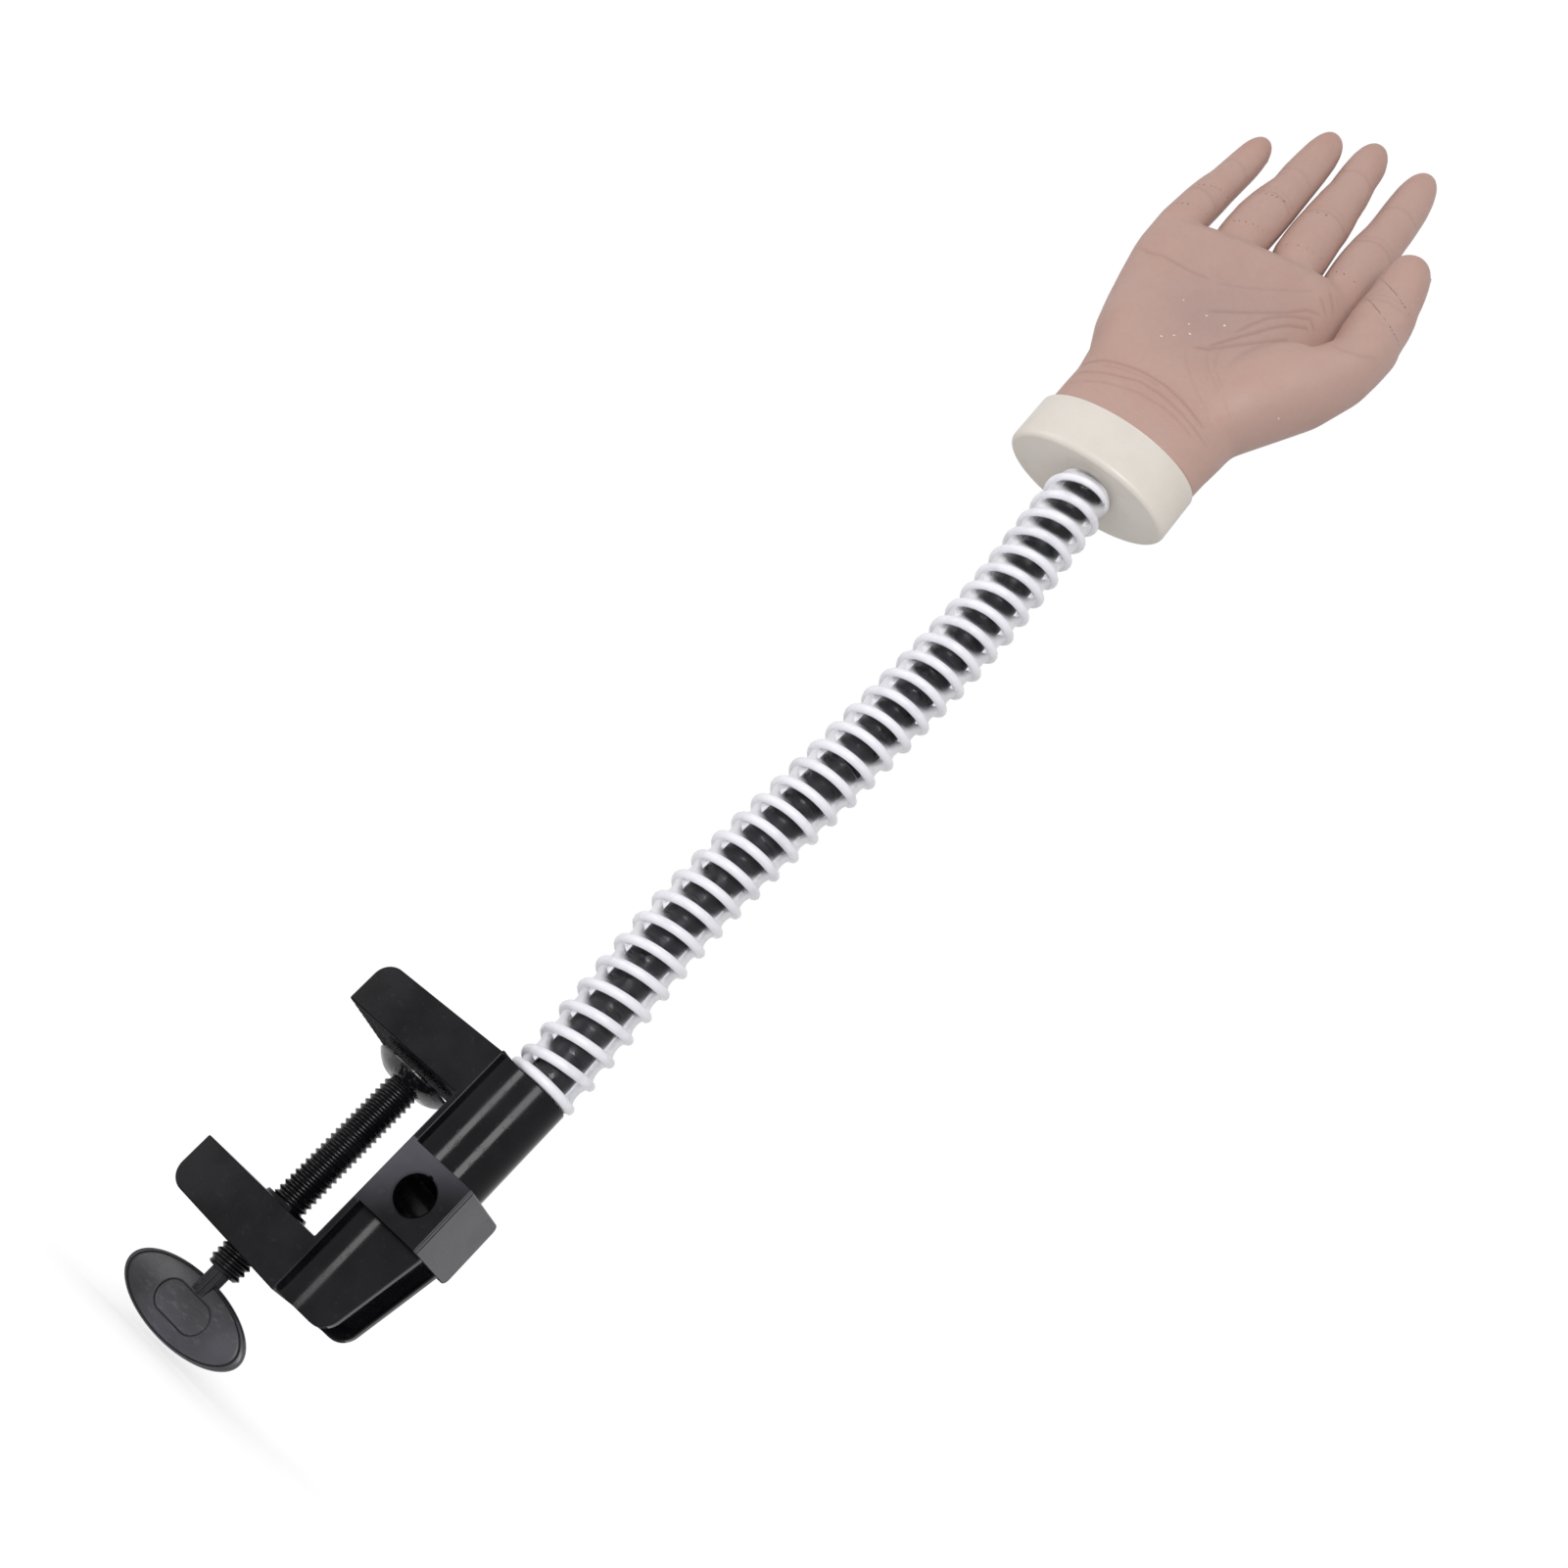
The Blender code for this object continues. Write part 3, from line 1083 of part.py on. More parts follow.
def main():
    clear_scene()
    make_clamp_frame()
    pad_axis = axis_empty("pad_axis", SCREW_AXIS)
    screw_axis = axis_empty("screw_axis", SCREW_AXIS, pad_axis)
    make_pad(pad_axis)
    make_screw(screw_axis)
    make_handle(screw_axis)
    foot_axis = axis_empty("neck_foot_axis", Matrix.Translation((TUBE_RADIUS, 0, MOUTH)))
    low_bend, _ = neck_point(NECK_RISE / 4)
    high_bend, _ = neck_point(NECK_RISE * 3 / 4)
    neck_axis = axis_empty("neck_axis", Matrix.Translation(low_bend), foot_axis)
    top_axis = axis_empty("neck_top_axis", Matrix.Translation(high_bend), neck_axis)
    palm_axis = axis_empty("palm_axis", hand_place(), top_axis)
    make_neck(foot_axis, neck_axis, top_axis)
    make_hand(palm_axis)
    for obj in bpy.data.collections["Nail practice hand"].objects:
        if obj.parent is None:
            obj.location.x += SCREW_SETBACK


main()
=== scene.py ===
import math

import bmesh
import bpy
import numpy as np
from mathutils import Matrix, Vector
from mathutils.bvhtree import BVHTree


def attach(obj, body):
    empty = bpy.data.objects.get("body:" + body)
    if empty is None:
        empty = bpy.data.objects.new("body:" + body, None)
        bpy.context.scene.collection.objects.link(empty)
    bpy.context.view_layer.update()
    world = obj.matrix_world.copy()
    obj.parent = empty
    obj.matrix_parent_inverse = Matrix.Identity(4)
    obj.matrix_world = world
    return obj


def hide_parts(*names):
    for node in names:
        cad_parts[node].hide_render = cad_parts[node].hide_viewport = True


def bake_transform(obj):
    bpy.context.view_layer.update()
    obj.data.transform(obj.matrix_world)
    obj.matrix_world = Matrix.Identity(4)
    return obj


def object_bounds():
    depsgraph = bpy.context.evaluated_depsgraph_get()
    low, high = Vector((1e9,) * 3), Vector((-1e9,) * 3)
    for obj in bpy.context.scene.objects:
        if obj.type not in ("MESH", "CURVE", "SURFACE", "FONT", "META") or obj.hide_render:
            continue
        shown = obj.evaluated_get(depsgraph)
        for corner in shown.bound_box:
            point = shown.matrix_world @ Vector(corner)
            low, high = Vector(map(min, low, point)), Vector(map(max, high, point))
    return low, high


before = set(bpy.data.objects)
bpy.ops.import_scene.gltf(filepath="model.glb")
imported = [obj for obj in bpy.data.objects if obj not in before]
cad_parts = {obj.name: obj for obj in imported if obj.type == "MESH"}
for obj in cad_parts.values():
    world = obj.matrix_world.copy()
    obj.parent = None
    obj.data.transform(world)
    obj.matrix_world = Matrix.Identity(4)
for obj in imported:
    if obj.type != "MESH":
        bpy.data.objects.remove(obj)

cad_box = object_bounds()

# Camera. The photograph looks up at the hand from low in front of the clamp, rolled so that the neck runs
# from the lower left to the upper right.
photo_lens = bpy.data.cameras.new("photo camera")
photo_lens.sensor_width = 36
photo_lens.lens = 42.72
photo_lens.clip_start = 0.01


def put_in_scene(name, data):
    made = bpy.data.objects.new(name, data)
    bpy.context.scene.collection.objects.link(made)
    return made


photo_camera = put_in_scene("photo camera", photo_lens)
lens_right = Vector((0.7511, 0.0547, 0.6579))
lens_up = Vector((-0.5602, -0.4743, 0.6791))
lens_ahead = Vector((-0.3492, 0.8787, 0.3256))
photo_camera.matrix_world = (Matrix.Translation((0.2177, -0.5001, -0.0493))
                             @ Matrix((lens_right, lens_up, -lens_ahead)).transposed().to_4x4())
bpy.context.scene.camera = photo_camera
bpy.context.scene.view_settings.view_transform = "Standard"

# Studio. A white room lights the practice hand softly from all round, two wide lamps beside the camera give
# the gloss its bands, and a pale floor that fades out lies below the clamp's handle.


class Signal:
    """A pattern or number in a finish, so that sums of patterns read as plain sums."""

    def __init__(self, tree, socket):
        self.tree = tree
        self.socket = socket

    def add(self, kind, inlets, outlet=0, **settings):
        node = self.tree.nodes.new(kind)
        for name, value in settings.items():
            setattr(node, name, value)
        for name, value in inlets.items():
            if isinstance(value, Signal):
                self.tree.links.new(value.socket, node.inputs[name])
            else:
                node.inputs[name].default_value = value
        return Signal(self.tree, node.outputs[outlet])

    def count(self, operation, *values):
        return self.add("ShaderNodeMath", dict(enumerate(values)), operation=operation)

    def __add__(self, other):
        return self.count("ADD", self, other)

    def __sub__(self, other):
        return self.count("SUBTRACT", self, other)

    def __rsub__(self, other):
        return self.count("SUBTRACT", other, self)

    def __mul__(self, other):
        return self.count("MULTIPLY", self, other)

    def __abs__(self):
        return self.count("ABSOLUTE", self)

    def at_least(self, other):
        return self.count("MAXIMUM", self, other)

    def square_root(self):
        return self.count("SQRT", self)

    __radd__ = __add__
    __rmul__ = __mul__

    def stretched(self, x, y, z):
        return self.add("ShaderNodeMapping", {"Vector": self, "Scale": (x, y, z)})

    def mottle(self, scale, detail=3.0, roughness=0.55):
        return self.add("ShaderNodeTexNoise", {"Vector": self, "Scale": scale, "Detail": detail,
                                               "Roughness": roughness})

    def cells(self, scale):
        return self.add("ShaderNodeTexVoronoi", {"Vector": self, "Scale": scale})

    def axes(self):
        """The sideways, depth and upright parts of a place."""
        parts = self.add("ShaderNodeSeparateXYZ", {"Vector": self})
        return [Signal(self.tree, outlet) for outlet in parts.socket.node.outputs]

    def ease(self, low, high, bottom=0.0, top=1.0):
        return self.add("ShaderNodeMapRange", {"Value": self, "From Min": low, "From Max": high,
                                               "To Min": bottom, "To Max": top},
                        interpolation_type="SMOOTHSTEP")

    def tint(self, low, high):
        """Colour that goes from low to high with this signal."""
        return self.add("ShaderNodeMix", {0: self, 6: low, 7: high}, 2, data_type="RGBA")


def from_tree(tree, kind, outlet):
    return Signal(tree, tree.nodes.new(kind).outputs[outlet])


def seen_share(tree):
    """1 for what the lens sees, straight or by way of gloss or glass."""
    camera, glossy, clear = (from_tree(tree, "ShaderNodeLightPath", f"Is {kind} Ray")
                             for kind in ("Camera", "Glossy", "Transmission"))
    return camera + glossy + clear


room = bpy.data.worlds.new("white room")
room.use_nodes = True
bpy.context.scene.world = room
room_tree = room.node_tree
sky = room_tree.nodes["Background"]
sky.inputs["Color"].default_value = (1, 1, 1, 1)
ROOM_LIGHT = 0.52
room_strength = seen_share(room_tree).ease(0.0, 1.0, ROOM_LIGHT, 1.0)
room_tree.links.new(room_strength.socket, sky.inputs["Strength"])

object_middle = (Vector(cad_box[0]) + Vector(cad_box[1])) / 2
for lamp_name, stand, watts, breadth, tallness in (("key lamp", (0.459, -1.222, 0.12), 8.0, 0.50, 0.42),
                                                   ("fill lamp", (-0.79, -0.94, 0.02), 3.3, 0.55, 0.80)):
    lamp = bpy.data.lights.new(lamp_name, "AREA")
    lamp.energy = watts
    lamp.shape = "RECTANGLE"
    lamp.size = breadth
    lamp.size_y = tallness
    lamp_object = put_in_scene(lamp_name, lamp)
    lamp_object.location = stand
    lamp_object.rotation_euler = (object_middle - lamp_object.location).to_track_quat("-Z", "Y").to_euler()


def settle(name, work):
    """Keep a worked mesh as an object of the scene."""
    mesh = bpy.data.meshes.new(name)
    work.to_mesh(mesh)
    work.free()
    return put_in_scene(name, mesh)


def new_finish(name, base, **plain):
    """A finish: its shader with what is the same all over, and the place on the piece to draw patterns by."""
    paint = bpy.data.materials.new(name)
    paint.use_nodes = True
    shader = paint.node_tree.nodes["Principled BSDF"]
    shader.inputs["Base Color"].default_value = (*base, 1)
    for socket, value in plain.items():
        shader.inputs[socket.replace("_", " ")].default_value = value
    return paint, shader, from_tree(paint.node_tree, "ShaderNodeTexCoord", "Object")


def feed(shader, **inlets):
    for name, signal in inlets.items():
        signal.tree.links.new(signal.socket, shader.inputs[name.replace("_", " ")])


def mix_shaders(share, first, second):
    """Show the second shader in place of the first as far as the share goes."""
    mixed = share.add("ShaderNodeMixShader", {0: share, 1: first, 2: second})
    share.tree.links.new(mixed.socket, share.tree.nodes["Material Output"].inputs["Surface"])


FLOOR_RADIUS = 1.5
FLOOR_DROP = 0.002
FLOOR_GLOW = 0.50
work = bmesh.new()
bmesh.ops.create_circle(work, cap_ends=True, segments=96, radius=FLOOR_RADIUS,
                        matrix=Matrix.Translation((0.03, 0, cad_box[0][2] - FLOOR_DROP)))
floor = settle("floor", work)
floor_paint, shader, place = new_finish("pale floor", (0.93, 0.93, 0.93), Roughness=0.7,
                                        Specular_IOR_Level=0.0, Emission_Strength=1.0)
floor_tree = floor_paint.node_tree
glow = seen_share(floor_tree).ease(0.0, 1.0).tint((0, 0, 0, 1), (FLOOR_GLOW, FLOOR_GLOW, FLOOR_GLOW, 1))
feed(shader, Emission_Color=glow)
from_middle = place.add("ShaderNodeVectorMath", {0: place, 1: (0.03, 0, cad_box[0][2])}, "Value",
                        operation="DISTANCE")
fade = (from_middle + place.mottle(3.0).ease(0.3, 0.7, -0.05, 0.05)).ease(0.25, 0.95)
mix_shaders(fade, Signal(floor_tree, shader.outputs[0]), from_tree(floor_tree, "ShaderNodeBsdfTransparent", 0))
floor.data.materials.append(floor_paint)

# Clamp. One glossy black moulding: two deep jaws on a thin wall that flares into the neck's socket tube, a
# square boss with a spare socket, and a flanged gusset below it. Its parts are drawn as on the mould and grown
# together, so that they meet in crisp hollow lines and keep rounded outer edges.
SCREW_SETBACK = 0.0197
JAW_LENGTH = 0.0430
HALF_WIDTH = 0.0185
JAW_OPENING = 0.0520
JAW_ROOT = 0.0167
JAW_TIP = 0.0152
JAW_NOSE = 0.0055
WALL = 0.0022
TUBE_RADIUS = 0.0104
MOUTH = 0.0173
BOSS_REACH = 0.0236
BOSS_TOP = -0.0162
BOSS_FOOT = -0.0378
BOSS_ROUND = 0.0024
EDGE = 0.0005
SIDE_ON = Matrix.Rotation(math.radians(90), 4, "X")
END_ON = Matrix.Rotation(math.radians(90), 4, "Z") @ SIDE_ON
WALL_FACE = Matrix.Translation((SCREW_SETBACK, 0, 0))


def prism(outline, half_thickness, place, edge=0.0, segments=3):
    """Solid of one outline: a flat face pulled out to its thickness, with its edges rounded."""
    work = bmesh.new()
    sheet = work.faces.new([work.verts.new((x, y, -half_thickness)) for x, y in outline])
    pulled = bmesh.ops.extrude_face_region(work, geom=[sheet])
    bmesh.ops.translate(work, vec=(0, 0, 2 * half_thickness),
                        verts=[v for v in pulled["geom"] if isinstance(v, bmesh.types.BMVert)])
    bmesh.ops.recalc_face_normals(work, faces=work.faces)
    if edge:
        sharp = [e for e in work.edges if e.calc_face_angle(0) > math.radians(30)]
        bmesh.ops.bevel(work, geom=sharp, offset=edge, segments=segments, profile=0.5, affect="EDGES",
                        material=-1, clamp_overlap=True)
    bmesh.ops.transform(work, matrix=place, verts=work.verts)
    return work


def arc(centre, radius, start, end, steps):
    """Points round an arc, in degrees, both ends included."""
    turns = [math.radians(start + (end - start) * k / steps) for k in range(steps + 1)]
    return [(centre[0] + radius * math.cos(t), centre[1] + radius * math.sin(t)) for t in turns]


def finished_mesh(body):
    """The mesh that an object's modifiers, or a curve's thickness, make of it."""
    return bpy.data.meshes.new_from_object(body.evaluated_get(bpy.context.evaluated_depsgraph_get()))


def carve(body, tools, operation):
    """Grow tools onto a body, or cut them out of it, and clear the tools away."""
    for number, tool in enumerate(tools):
        tool_object = settle("tool", tool)
        change = body.modifiers.new(f"change {number}", "BOOLEAN")
        change.operation = operation
        change.solver = "EXACT"
        change.object = tool_object
    mesh = finished_mesh(body)
    for change in list(body.modifiers):
        tool_object = change.object
        body.modifiers.remove(change)
        bpy.data.objects.remove(tool_object, do_unlink=True)
    body.data = mesh


def polish(body, angle=32):
    """Smooth shading that keeps the edges sharper than the angle."""
    body.data.shade_smooth()
    body.data.set_sharp_from_angle(angle=math.radians(angle))


def true_flats(body):
    """Let the large faces set the shading, so that flats between rounded edges look flat."""
    weigh = body.modifiers.new("true flats", "WEIGHTED_NORMAL")
    weigh.keep_sharp = True
    weigh.weight = 100
    body.data = finished_mesh(body)
    body.modifiers.clear()


upper_jaw = [(WALL, JAW_ROOT)]
upper_jaw += arc((-JAW_LENGTH + JAW_NOSE, JAW_TIP - JAW_NOSE), JAW_NOSE, 92, 180, 10)
upper_jaw += [(-JAW_LENGTH, 0), (0, 0)]
lower_jaw = [(x, -JAW_OPENING - z) for x, z in reversed(upper_jaw)]
clamp = settle("clamp_body", prism(upper_jaw + lower_jaw, HALF_WIDTH, WALL_FACE @ SIDE_ON, EDGE))

FLARE_STEPS = 14
flare = [(WALL / 2, WALL / 2 - HALF_WIDTH)]
for k in range(FLARE_STEPS + 1):
    turn = math.radians(90 * k / FLARE_STEPS)
    flare.append((TUBE_RADIUS - (TUBE_RADIUS - WALL) * math.cos(turn),
                  WALL / 2 - HALF_WIDTH + (HALF_WIDTH - WALL / 2 - TUBE_RADIUS) * math.sin(turn)))
other_flare = [(x, -y) for x, y in reversed(flare)]
tube_section = flare + arc((TUBE_RADIUS, 0), TUBE_RADIUS, -90, 90, 28)[1:-1] + other_flare
boss_middle = (BOSS_TOP + BOSS_FOOT) / 2
jaw_foot = -JAW_OPENING - JAW_ROOT
tube = prism(tube_section, (MOUTH - boss_middle) / 2,
             WALL_FACE @ Matrix.Translation((0, 0, (MOUTH + boss_middle) / 2)), 0.0004)
back_foot = jaw_foot + EDGE
back = prism(flare + other_flare, (boss_middle - back_foot) / 2,
             WALL_FACE @ Matrix.Translation((0, 0, (boss_middle + back_foot) / 2)))
boss_section = [(-HALF_WIDTH, BOSS_TOP), (-HALF_WIDTH, BOSS_FOOT)]
boss_section += arc((HALF_WIDTH - BOSS_ROUND, BOSS_FOOT + BOSS_ROUND), BOSS_ROUND, -90, 0, 6)
boss_section += arc((HALF_WIDTH - BOSS_ROUND, BOSS_TOP - BOSS_ROUND), BOSS_ROUND, 0, 90, 6)
boss = prism(boss_section, (BOSS_REACH - WALL / 2) / 2,
             WALL_FACE @ Matrix.Translation(((BOSS_REACH + WALL / 2) / 2, 0, 0)) @ END_ON, 0.0006)
GUSSET_REACH = 0.0186
GUSSET_CORNER = 0.0062
GUSSET_SHY = 0.0002
WEB_INSET = 0.0030
WEB_HALF_THICKNESS = 0.0085
PLATE_HALF_THICKNESS = 0.0014
PLATE_SIDE = 0.00905
COLLAR_RADIUS = 0.0078
COLLAR_RIM_RADIUS = 0.0071
COLLAR_HEIGHT = 0.0020


def gusset(inset, half_thickness, side, edge, start):
    """One plate of the gusset, from its start at the wall side, drawn in from its free edge by the inset."""
    foot = jaw_foot + EDGE + inset
    reach = GUSSET_REACH - inset
    outline = [(start, boss_middle), (start, foot)]
    outline += arc((reach - GUSSET_CORNER, foot + GUSSET_CORNER), GUSSET_CORNER, -90, -8, 10)
    outline += [(BOSS_REACH - inset - GUSSET_SHY, BOSS_FOOT + EDGE), (BOSS_REACH - inset - GUSSET_SHY, boss_middle)]
    return prism(outline, half_thickness, WALL_FACE @ Matrix.Translation((0, side, 0)) @ SIDE_ON, edge)


plates = [gusset(WEB_INSET, WEB_HALF_THICKNESS, 0, 0.0, WALL / 2)]
plates += [gusset(0, PLATE_HALF_THICKNESS, side, 0.0004, TUBE_RADIUS - 0.0008) for side in (-PLATE_SIDE, PLATE_SIDE)]
work = bmesh.new()
bmesh.ops.create_cone(work, cap_ends=True, segments=48, radius1=COLLAR_RADIUS, radius2=COLLAR_RIM_RADIUS,
                      depth=COLLAR_HEIGHT, matrix=Matrix.Translation((0, 0, -JAW_OPENING)))
carve(clamp, [tube, back, boss, *plates, work], "UNION")


def drill(radius, low, high, place, rim=0.0):
    """Round tool for a hole, with a flared rim at its high end."""
    work = bmesh.new()
    bmesh.ops.create_cone(work, cap_ends=True, segments=56, radius1=radius, radius2=radius, depth=high - low,
                          matrix=place @ Matrix.Translation((0, 0, (low + high) / 2)))
    if rim:
        mouth = [v for v in work.verts if (place.inverted() @ v.co).z > high - 1e-6]
        cap = [f for f in work.faces if all(v in mouth for v in f.verts)]
        raised = bmesh.ops.extrude_face_region(work, geom=cap)
        bmesh.ops.delete(work, geom=cap, context="FACES_ONLY")
        verts = [v for v in raised["geom"] if isinstance(v, bmesh.types.BMVert)]
        centre = place @ Vector((0, 0, high))
        for v in verts:
            out = v.co - centre
            v.co = centre + out * (radius + rim) / radius + place.to_3x3() @ Vector((0, 0, rim))
    bmesh.ops.recalc_face_normals(work, faces=work.faces)
    return work


SOCKET_RADIUS = 0.0058
SOCKET_DEPTH = 0.0280
SPARE_RADIUS = 0.0060
SPARE_DEPTH = 0.0260
SPARE_SETBACK = 0.0124
OVERCUT = 0.003
GROOVE_START = WALL + 0.0009
GROOVE_DEPTH = 0.0007
GROOVE_HALF_WIDTH = 0.00045
GROOVE_SETBACK = 0.00205
GRIP_RIDGES = 8
GRIP_LENGTH = 0.042
GRIP_SIDE = 0.00283
tube_axis = WALL_FACE @ Matrix.Translation((TUBE_RADIUS, 0, 0))
spare_axis = WALL_FACE @ Matrix.Translation((SPARE_SETBACK, -HALF_WIDTH, boss_middle)) @ SIDE_ON
socket = drill(SOCKET_RADIUS, MOUTH - SOCKET_DEPTH, MOUTH - 0.0004, tube_axis, 0.0008)
spare_socket = drill(SPARE_RADIUS, -SPARE_DEPTH, -0.0005, spare_axis, 0.0010)
screw_hole = drill(SOCKET_RADIUS, jaw_foot - OVERCUT, -JAW_OPENING + OVERCUT, Matrix())
groove_outline = [(GROOVE_START, BOSS_TOP + OVERCUT), (BOSS_REACH + OVERCUT, BOSS_TOP + OVERCUT),
                  (BOSS_REACH + OVERCUT, BOSS_FOOT - OVERCUT), (GROOVE_START, BOSS_FOOT - OVERCUT),
                  (GROOVE_START, BOSS_FOOT + GROOVE_DEPTH), (BOSS_REACH - GROOVE_DEPTH, BOSS_FOOT + GROOVE_DEPTH),
                  (BOSS_REACH - GROOVE_DEPTH, BOSS_TOP - GROOVE_DEPTH), (GROOVE_START, BOSS_TOP - GROOVE_DEPTH)]
boss_groove = prism(groove_outline, GROOVE_HALF_WIDTH,
                    WALL_FACE @ Matrix.Translation((0, -HALF_WIDTH + GROOVE_SETBACK, 0)) @ SIDE_ON)
cutters = [socket, spare_socket, screw_hole, boss_groove]
for k in range(GRIP_RIDGES):
    across = -HALF_WIDTH + 2 * HALF_WIDTH / (GRIP_RIDGES + 1) * (k + 1)
    work = bmesh.new()
    bmesh.ops.create_cube(work, size=1, matrix=(WALL_FACE @ Matrix.Translation((-0.025, across, -0.0010))
                                               @ Matrix.Rotation(math.radians(45), 4, "X")
                                               @ Matrix.Diagonal((GRIP_LENGTH, GRIP_SIDE, GRIP_SIDE, 1))))
    cutters.append(work)
carve(clamp, cutters, "DIFFERENCE")
polish(clamp)
true_flats(clamp)


def relief(height, depth):
    """Surface relief of a height pattern, as deep as depth in metres."""
    return height.add("ShaderNodeBump", {"Height": height, "Distance": depth, "Strength": 1.0})


def black_moulding(name, dark, pale, smooth, rough, wear=0.0, painted_sheen=None, shine=0.16):
    """Black injection moulding: cloudy gloss, fine scratches, flow ripple and a few specks of dust, and grey painted on
    as sheen where a painted sheen is given.
    """
    paint, shader, place = new_finish(name, dark, Specular_IOR_Level=shine)
    cloud = place.mottle(55.0, 4.0)
    scratch = place.stretched(1, 7, 1.6).mottle(340.0, 2.0).ease(0.60, 0.72)
    dust = place.cells(420.0).ease(0.045, 0.02) * place.mottle(30.0).ease(0.52, 0.60)
    colour = (cloud.ease(0.35, 0.75) * 0.6 + scratch * wear + dust * 0.8).tint((*dark, 1), (*pale, 1))
    gloss = cloud.ease(0.3, 0.7, smooth, rough) + scratch * 0.12
    if painted_sheen:
        # Painted sheen: grey laid on the black where light would gleam.
        sheen = painted_sheen(place) * cloud.ease(0.2, 0.8, 0.8, 1.1)
        colour = sheen.tint(colour, (0.095, 0.093, 0.112, 1))
        gloss = gloss + sheen * 0.25
    feed(shader, Base_Color=colour, Roughness=gloss,
         Normal=relief(place.mottle(170.0, 2.0) + scratch * 0.5, 0.000015))
    return paint


def boss_painted_sheen(place):
    """Where grey is painted on the clamp as sheen in place of light: the boss's outer end all over, and its face
    towards the inner corner.
    """
    x, y, z = place.axes()
    level = z.ease(BOSS_FOOT - 0.0006, BOSS_FOOT) * z.ease(BOSS_TOP, BOSS_TOP + 0.0006, 1.0, 0.0)
    outer = x.ease(SCREW_SETBACK + BOSS_REACH - 0.0007, SCREW_SETBACK + BOSS_REACH - 0.0002)
    face = y.ease(0.0002 - HALF_WIDTH, 0.0012 - HALF_WIDTH, 1.0, 0.0) * x.ease(SCREW_SETBACK, SCREW_SETBACK + 0.0006)
    # Painted light: the face greys towards its upper corner by the wall, as a gleam would.
    corner = (z - x).ease(-0.068, -0.040, 0.0, 0.75)
    return level * (outer * 0.55 + face * corner)


CLAMP_BLACKS = ((0.0020, 0.0020, 0.0030), (0.009, 0.009, 0.012))
clamp.data.materials.clear()
clamp.data.materials.append(black_moulding("black clamp moulding", *CLAMP_BLACKS, 0.12, 0.22, 0.3, boss_painted_sheen))
clamp.data.materials.append(black_moulding("matt grip black", *CLAMP_BLACKS, 0.5, 0.6, shine=0.02))
for face in clamp.data.polygons:
    if face.normal.z < -0.7:
        face.material_index = 1
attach(clamp, "clamp")
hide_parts("clamp_frame")

# Clamp screw. A turned black bar with a coarse rounded thread all the way up to the pad, and a fluted stub
# below, on which the handle is pressed.
SCREW_RADIUS = 0.0055
THREAD_PITCH = 0.0019
THREAD_DEPTH = 0.0008
SCREW_TOP = -0.0070
SCREW_FOOT = -0.0753
STUB_RADIUS = 0.0031
STUB_LENGTH = 0.0082
STUB_DROP = 0.0038
STUB_FLUTES = 8
FLUTE_SHARE = 0.15
CREST_ROUND = 0.00012
END_CHAMFER = 0.0010
THREAD_STEPS = 28
turns = int((SCREW_TOP - SCREW_FOOT) / THREAD_PITCH) + 3
work = bmesh.new()
root_radius = SCREW_RADIUS - THREAD_DEPTH
strand = [(root_radius, 0.0), (root_radius, 0.10), (SCREW_RADIUS - CREST_ROUND, 0.40), (SCREW_RADIUS, 0.47),
          (SCREW_RADIUS, 0.58), (SCREW_RADIUS - CREST_ROUND, 0.65), (root_radius, 0.95), (root_radius, 1.0)]
line = [work.verts.new((radius, 0, SCREW_FOOT - THREAD_PITCH + share * THREAD_PITCH)) for radius, share in strand]
edges = [work.edges.new(pair) for pair in zip(line, line[1:])]
bmesh.ops.spin(work, geom=line + edges, axis=(0, 0, 1), cent=(0, 0, 0), dvec=(0, 0, THREAD_PITCH / THREAD_STEPS),
               angle=2 * math.pi * turns, steps=THREAD_STEPS * turns, use_duplicate=False)
bmesh.ops.remove_doubles(work, verts=work.verts, dist=1e-6)
for level, keep_above in ((SCREW_FOOT, True), (SCREW_TOP, False)):
    bmesh.ops.bisect_plane(work, geom=work.verts[:] + work.edges[:] + work.faces[:], plane_co=(0, 0, level),
                           plane_no=(0, 0, 1), clear_inner=keep_above, clear_outer=not keep_above)
for v in work.verts:
    spare = min(v.co.z - SCREW_FOOT, SCREW_TOP - v.co.z)
    radius = math.hypot(v.co.x, v.co.y)
    limit = SCREW_RADIUS - END_CHAMFER + spare
    if radius > limit:
        v.co.x *= limit / radius
        v.co.y *= limit / radius
bmesh.ops.holes_fill(work, edges=[e for e in work.edges if e.is_boundary], sides=0)
bmesh.ops.recalc_face_normals(work, faces=work.faces)
screw = settle("clamp_screw_thread", work)
work = bmesh.new()
bmesh.ops.create_cone(work, cap_ends=True, segments=96, radius1=STUB_RADIUS, radius2=STUB_RADIUS,
                      depth=STUB_LENGTH, matrix=Matrix.Translation((0, 0, SCREW_FOOT - STUB_DROP)))
for v in work.verts:
    turn = math.atan2(v.co.y, v.co.x)
    flute = 1 - FLUTE_SHARE * (0.5 - 0.5 * math.cos(STUB_FLUTES * turn)) ** 2
    v.co.x *= flute
    v.co.y *= flute
stub = settle("screw_stub", work)
polish(screw, 40)
polish(stub, 50)
screw_black = black_moulding("black turned screw", (0.0050, 0.0050, 0.0060), (0.030, 0.030, 0.034), 0.17, 0.30, 0.5)
for part in (screw, stub):
    part.data.materials.append(screw_black)
    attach(part, "screw")
    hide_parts("clamp_screw")

# Pressure pad. A shallow moulded bowl that turns on the screw's end: flat rim above, hollow curved wall below,
# scuffed grey where it has been pressed against table tops. Random grey patches are painted on as sheen, standing in
# for light on the bowl.
PAD_TOP = -0.0021
PAD_RADIUS = 0.0130
BOWL_STEPS = 13


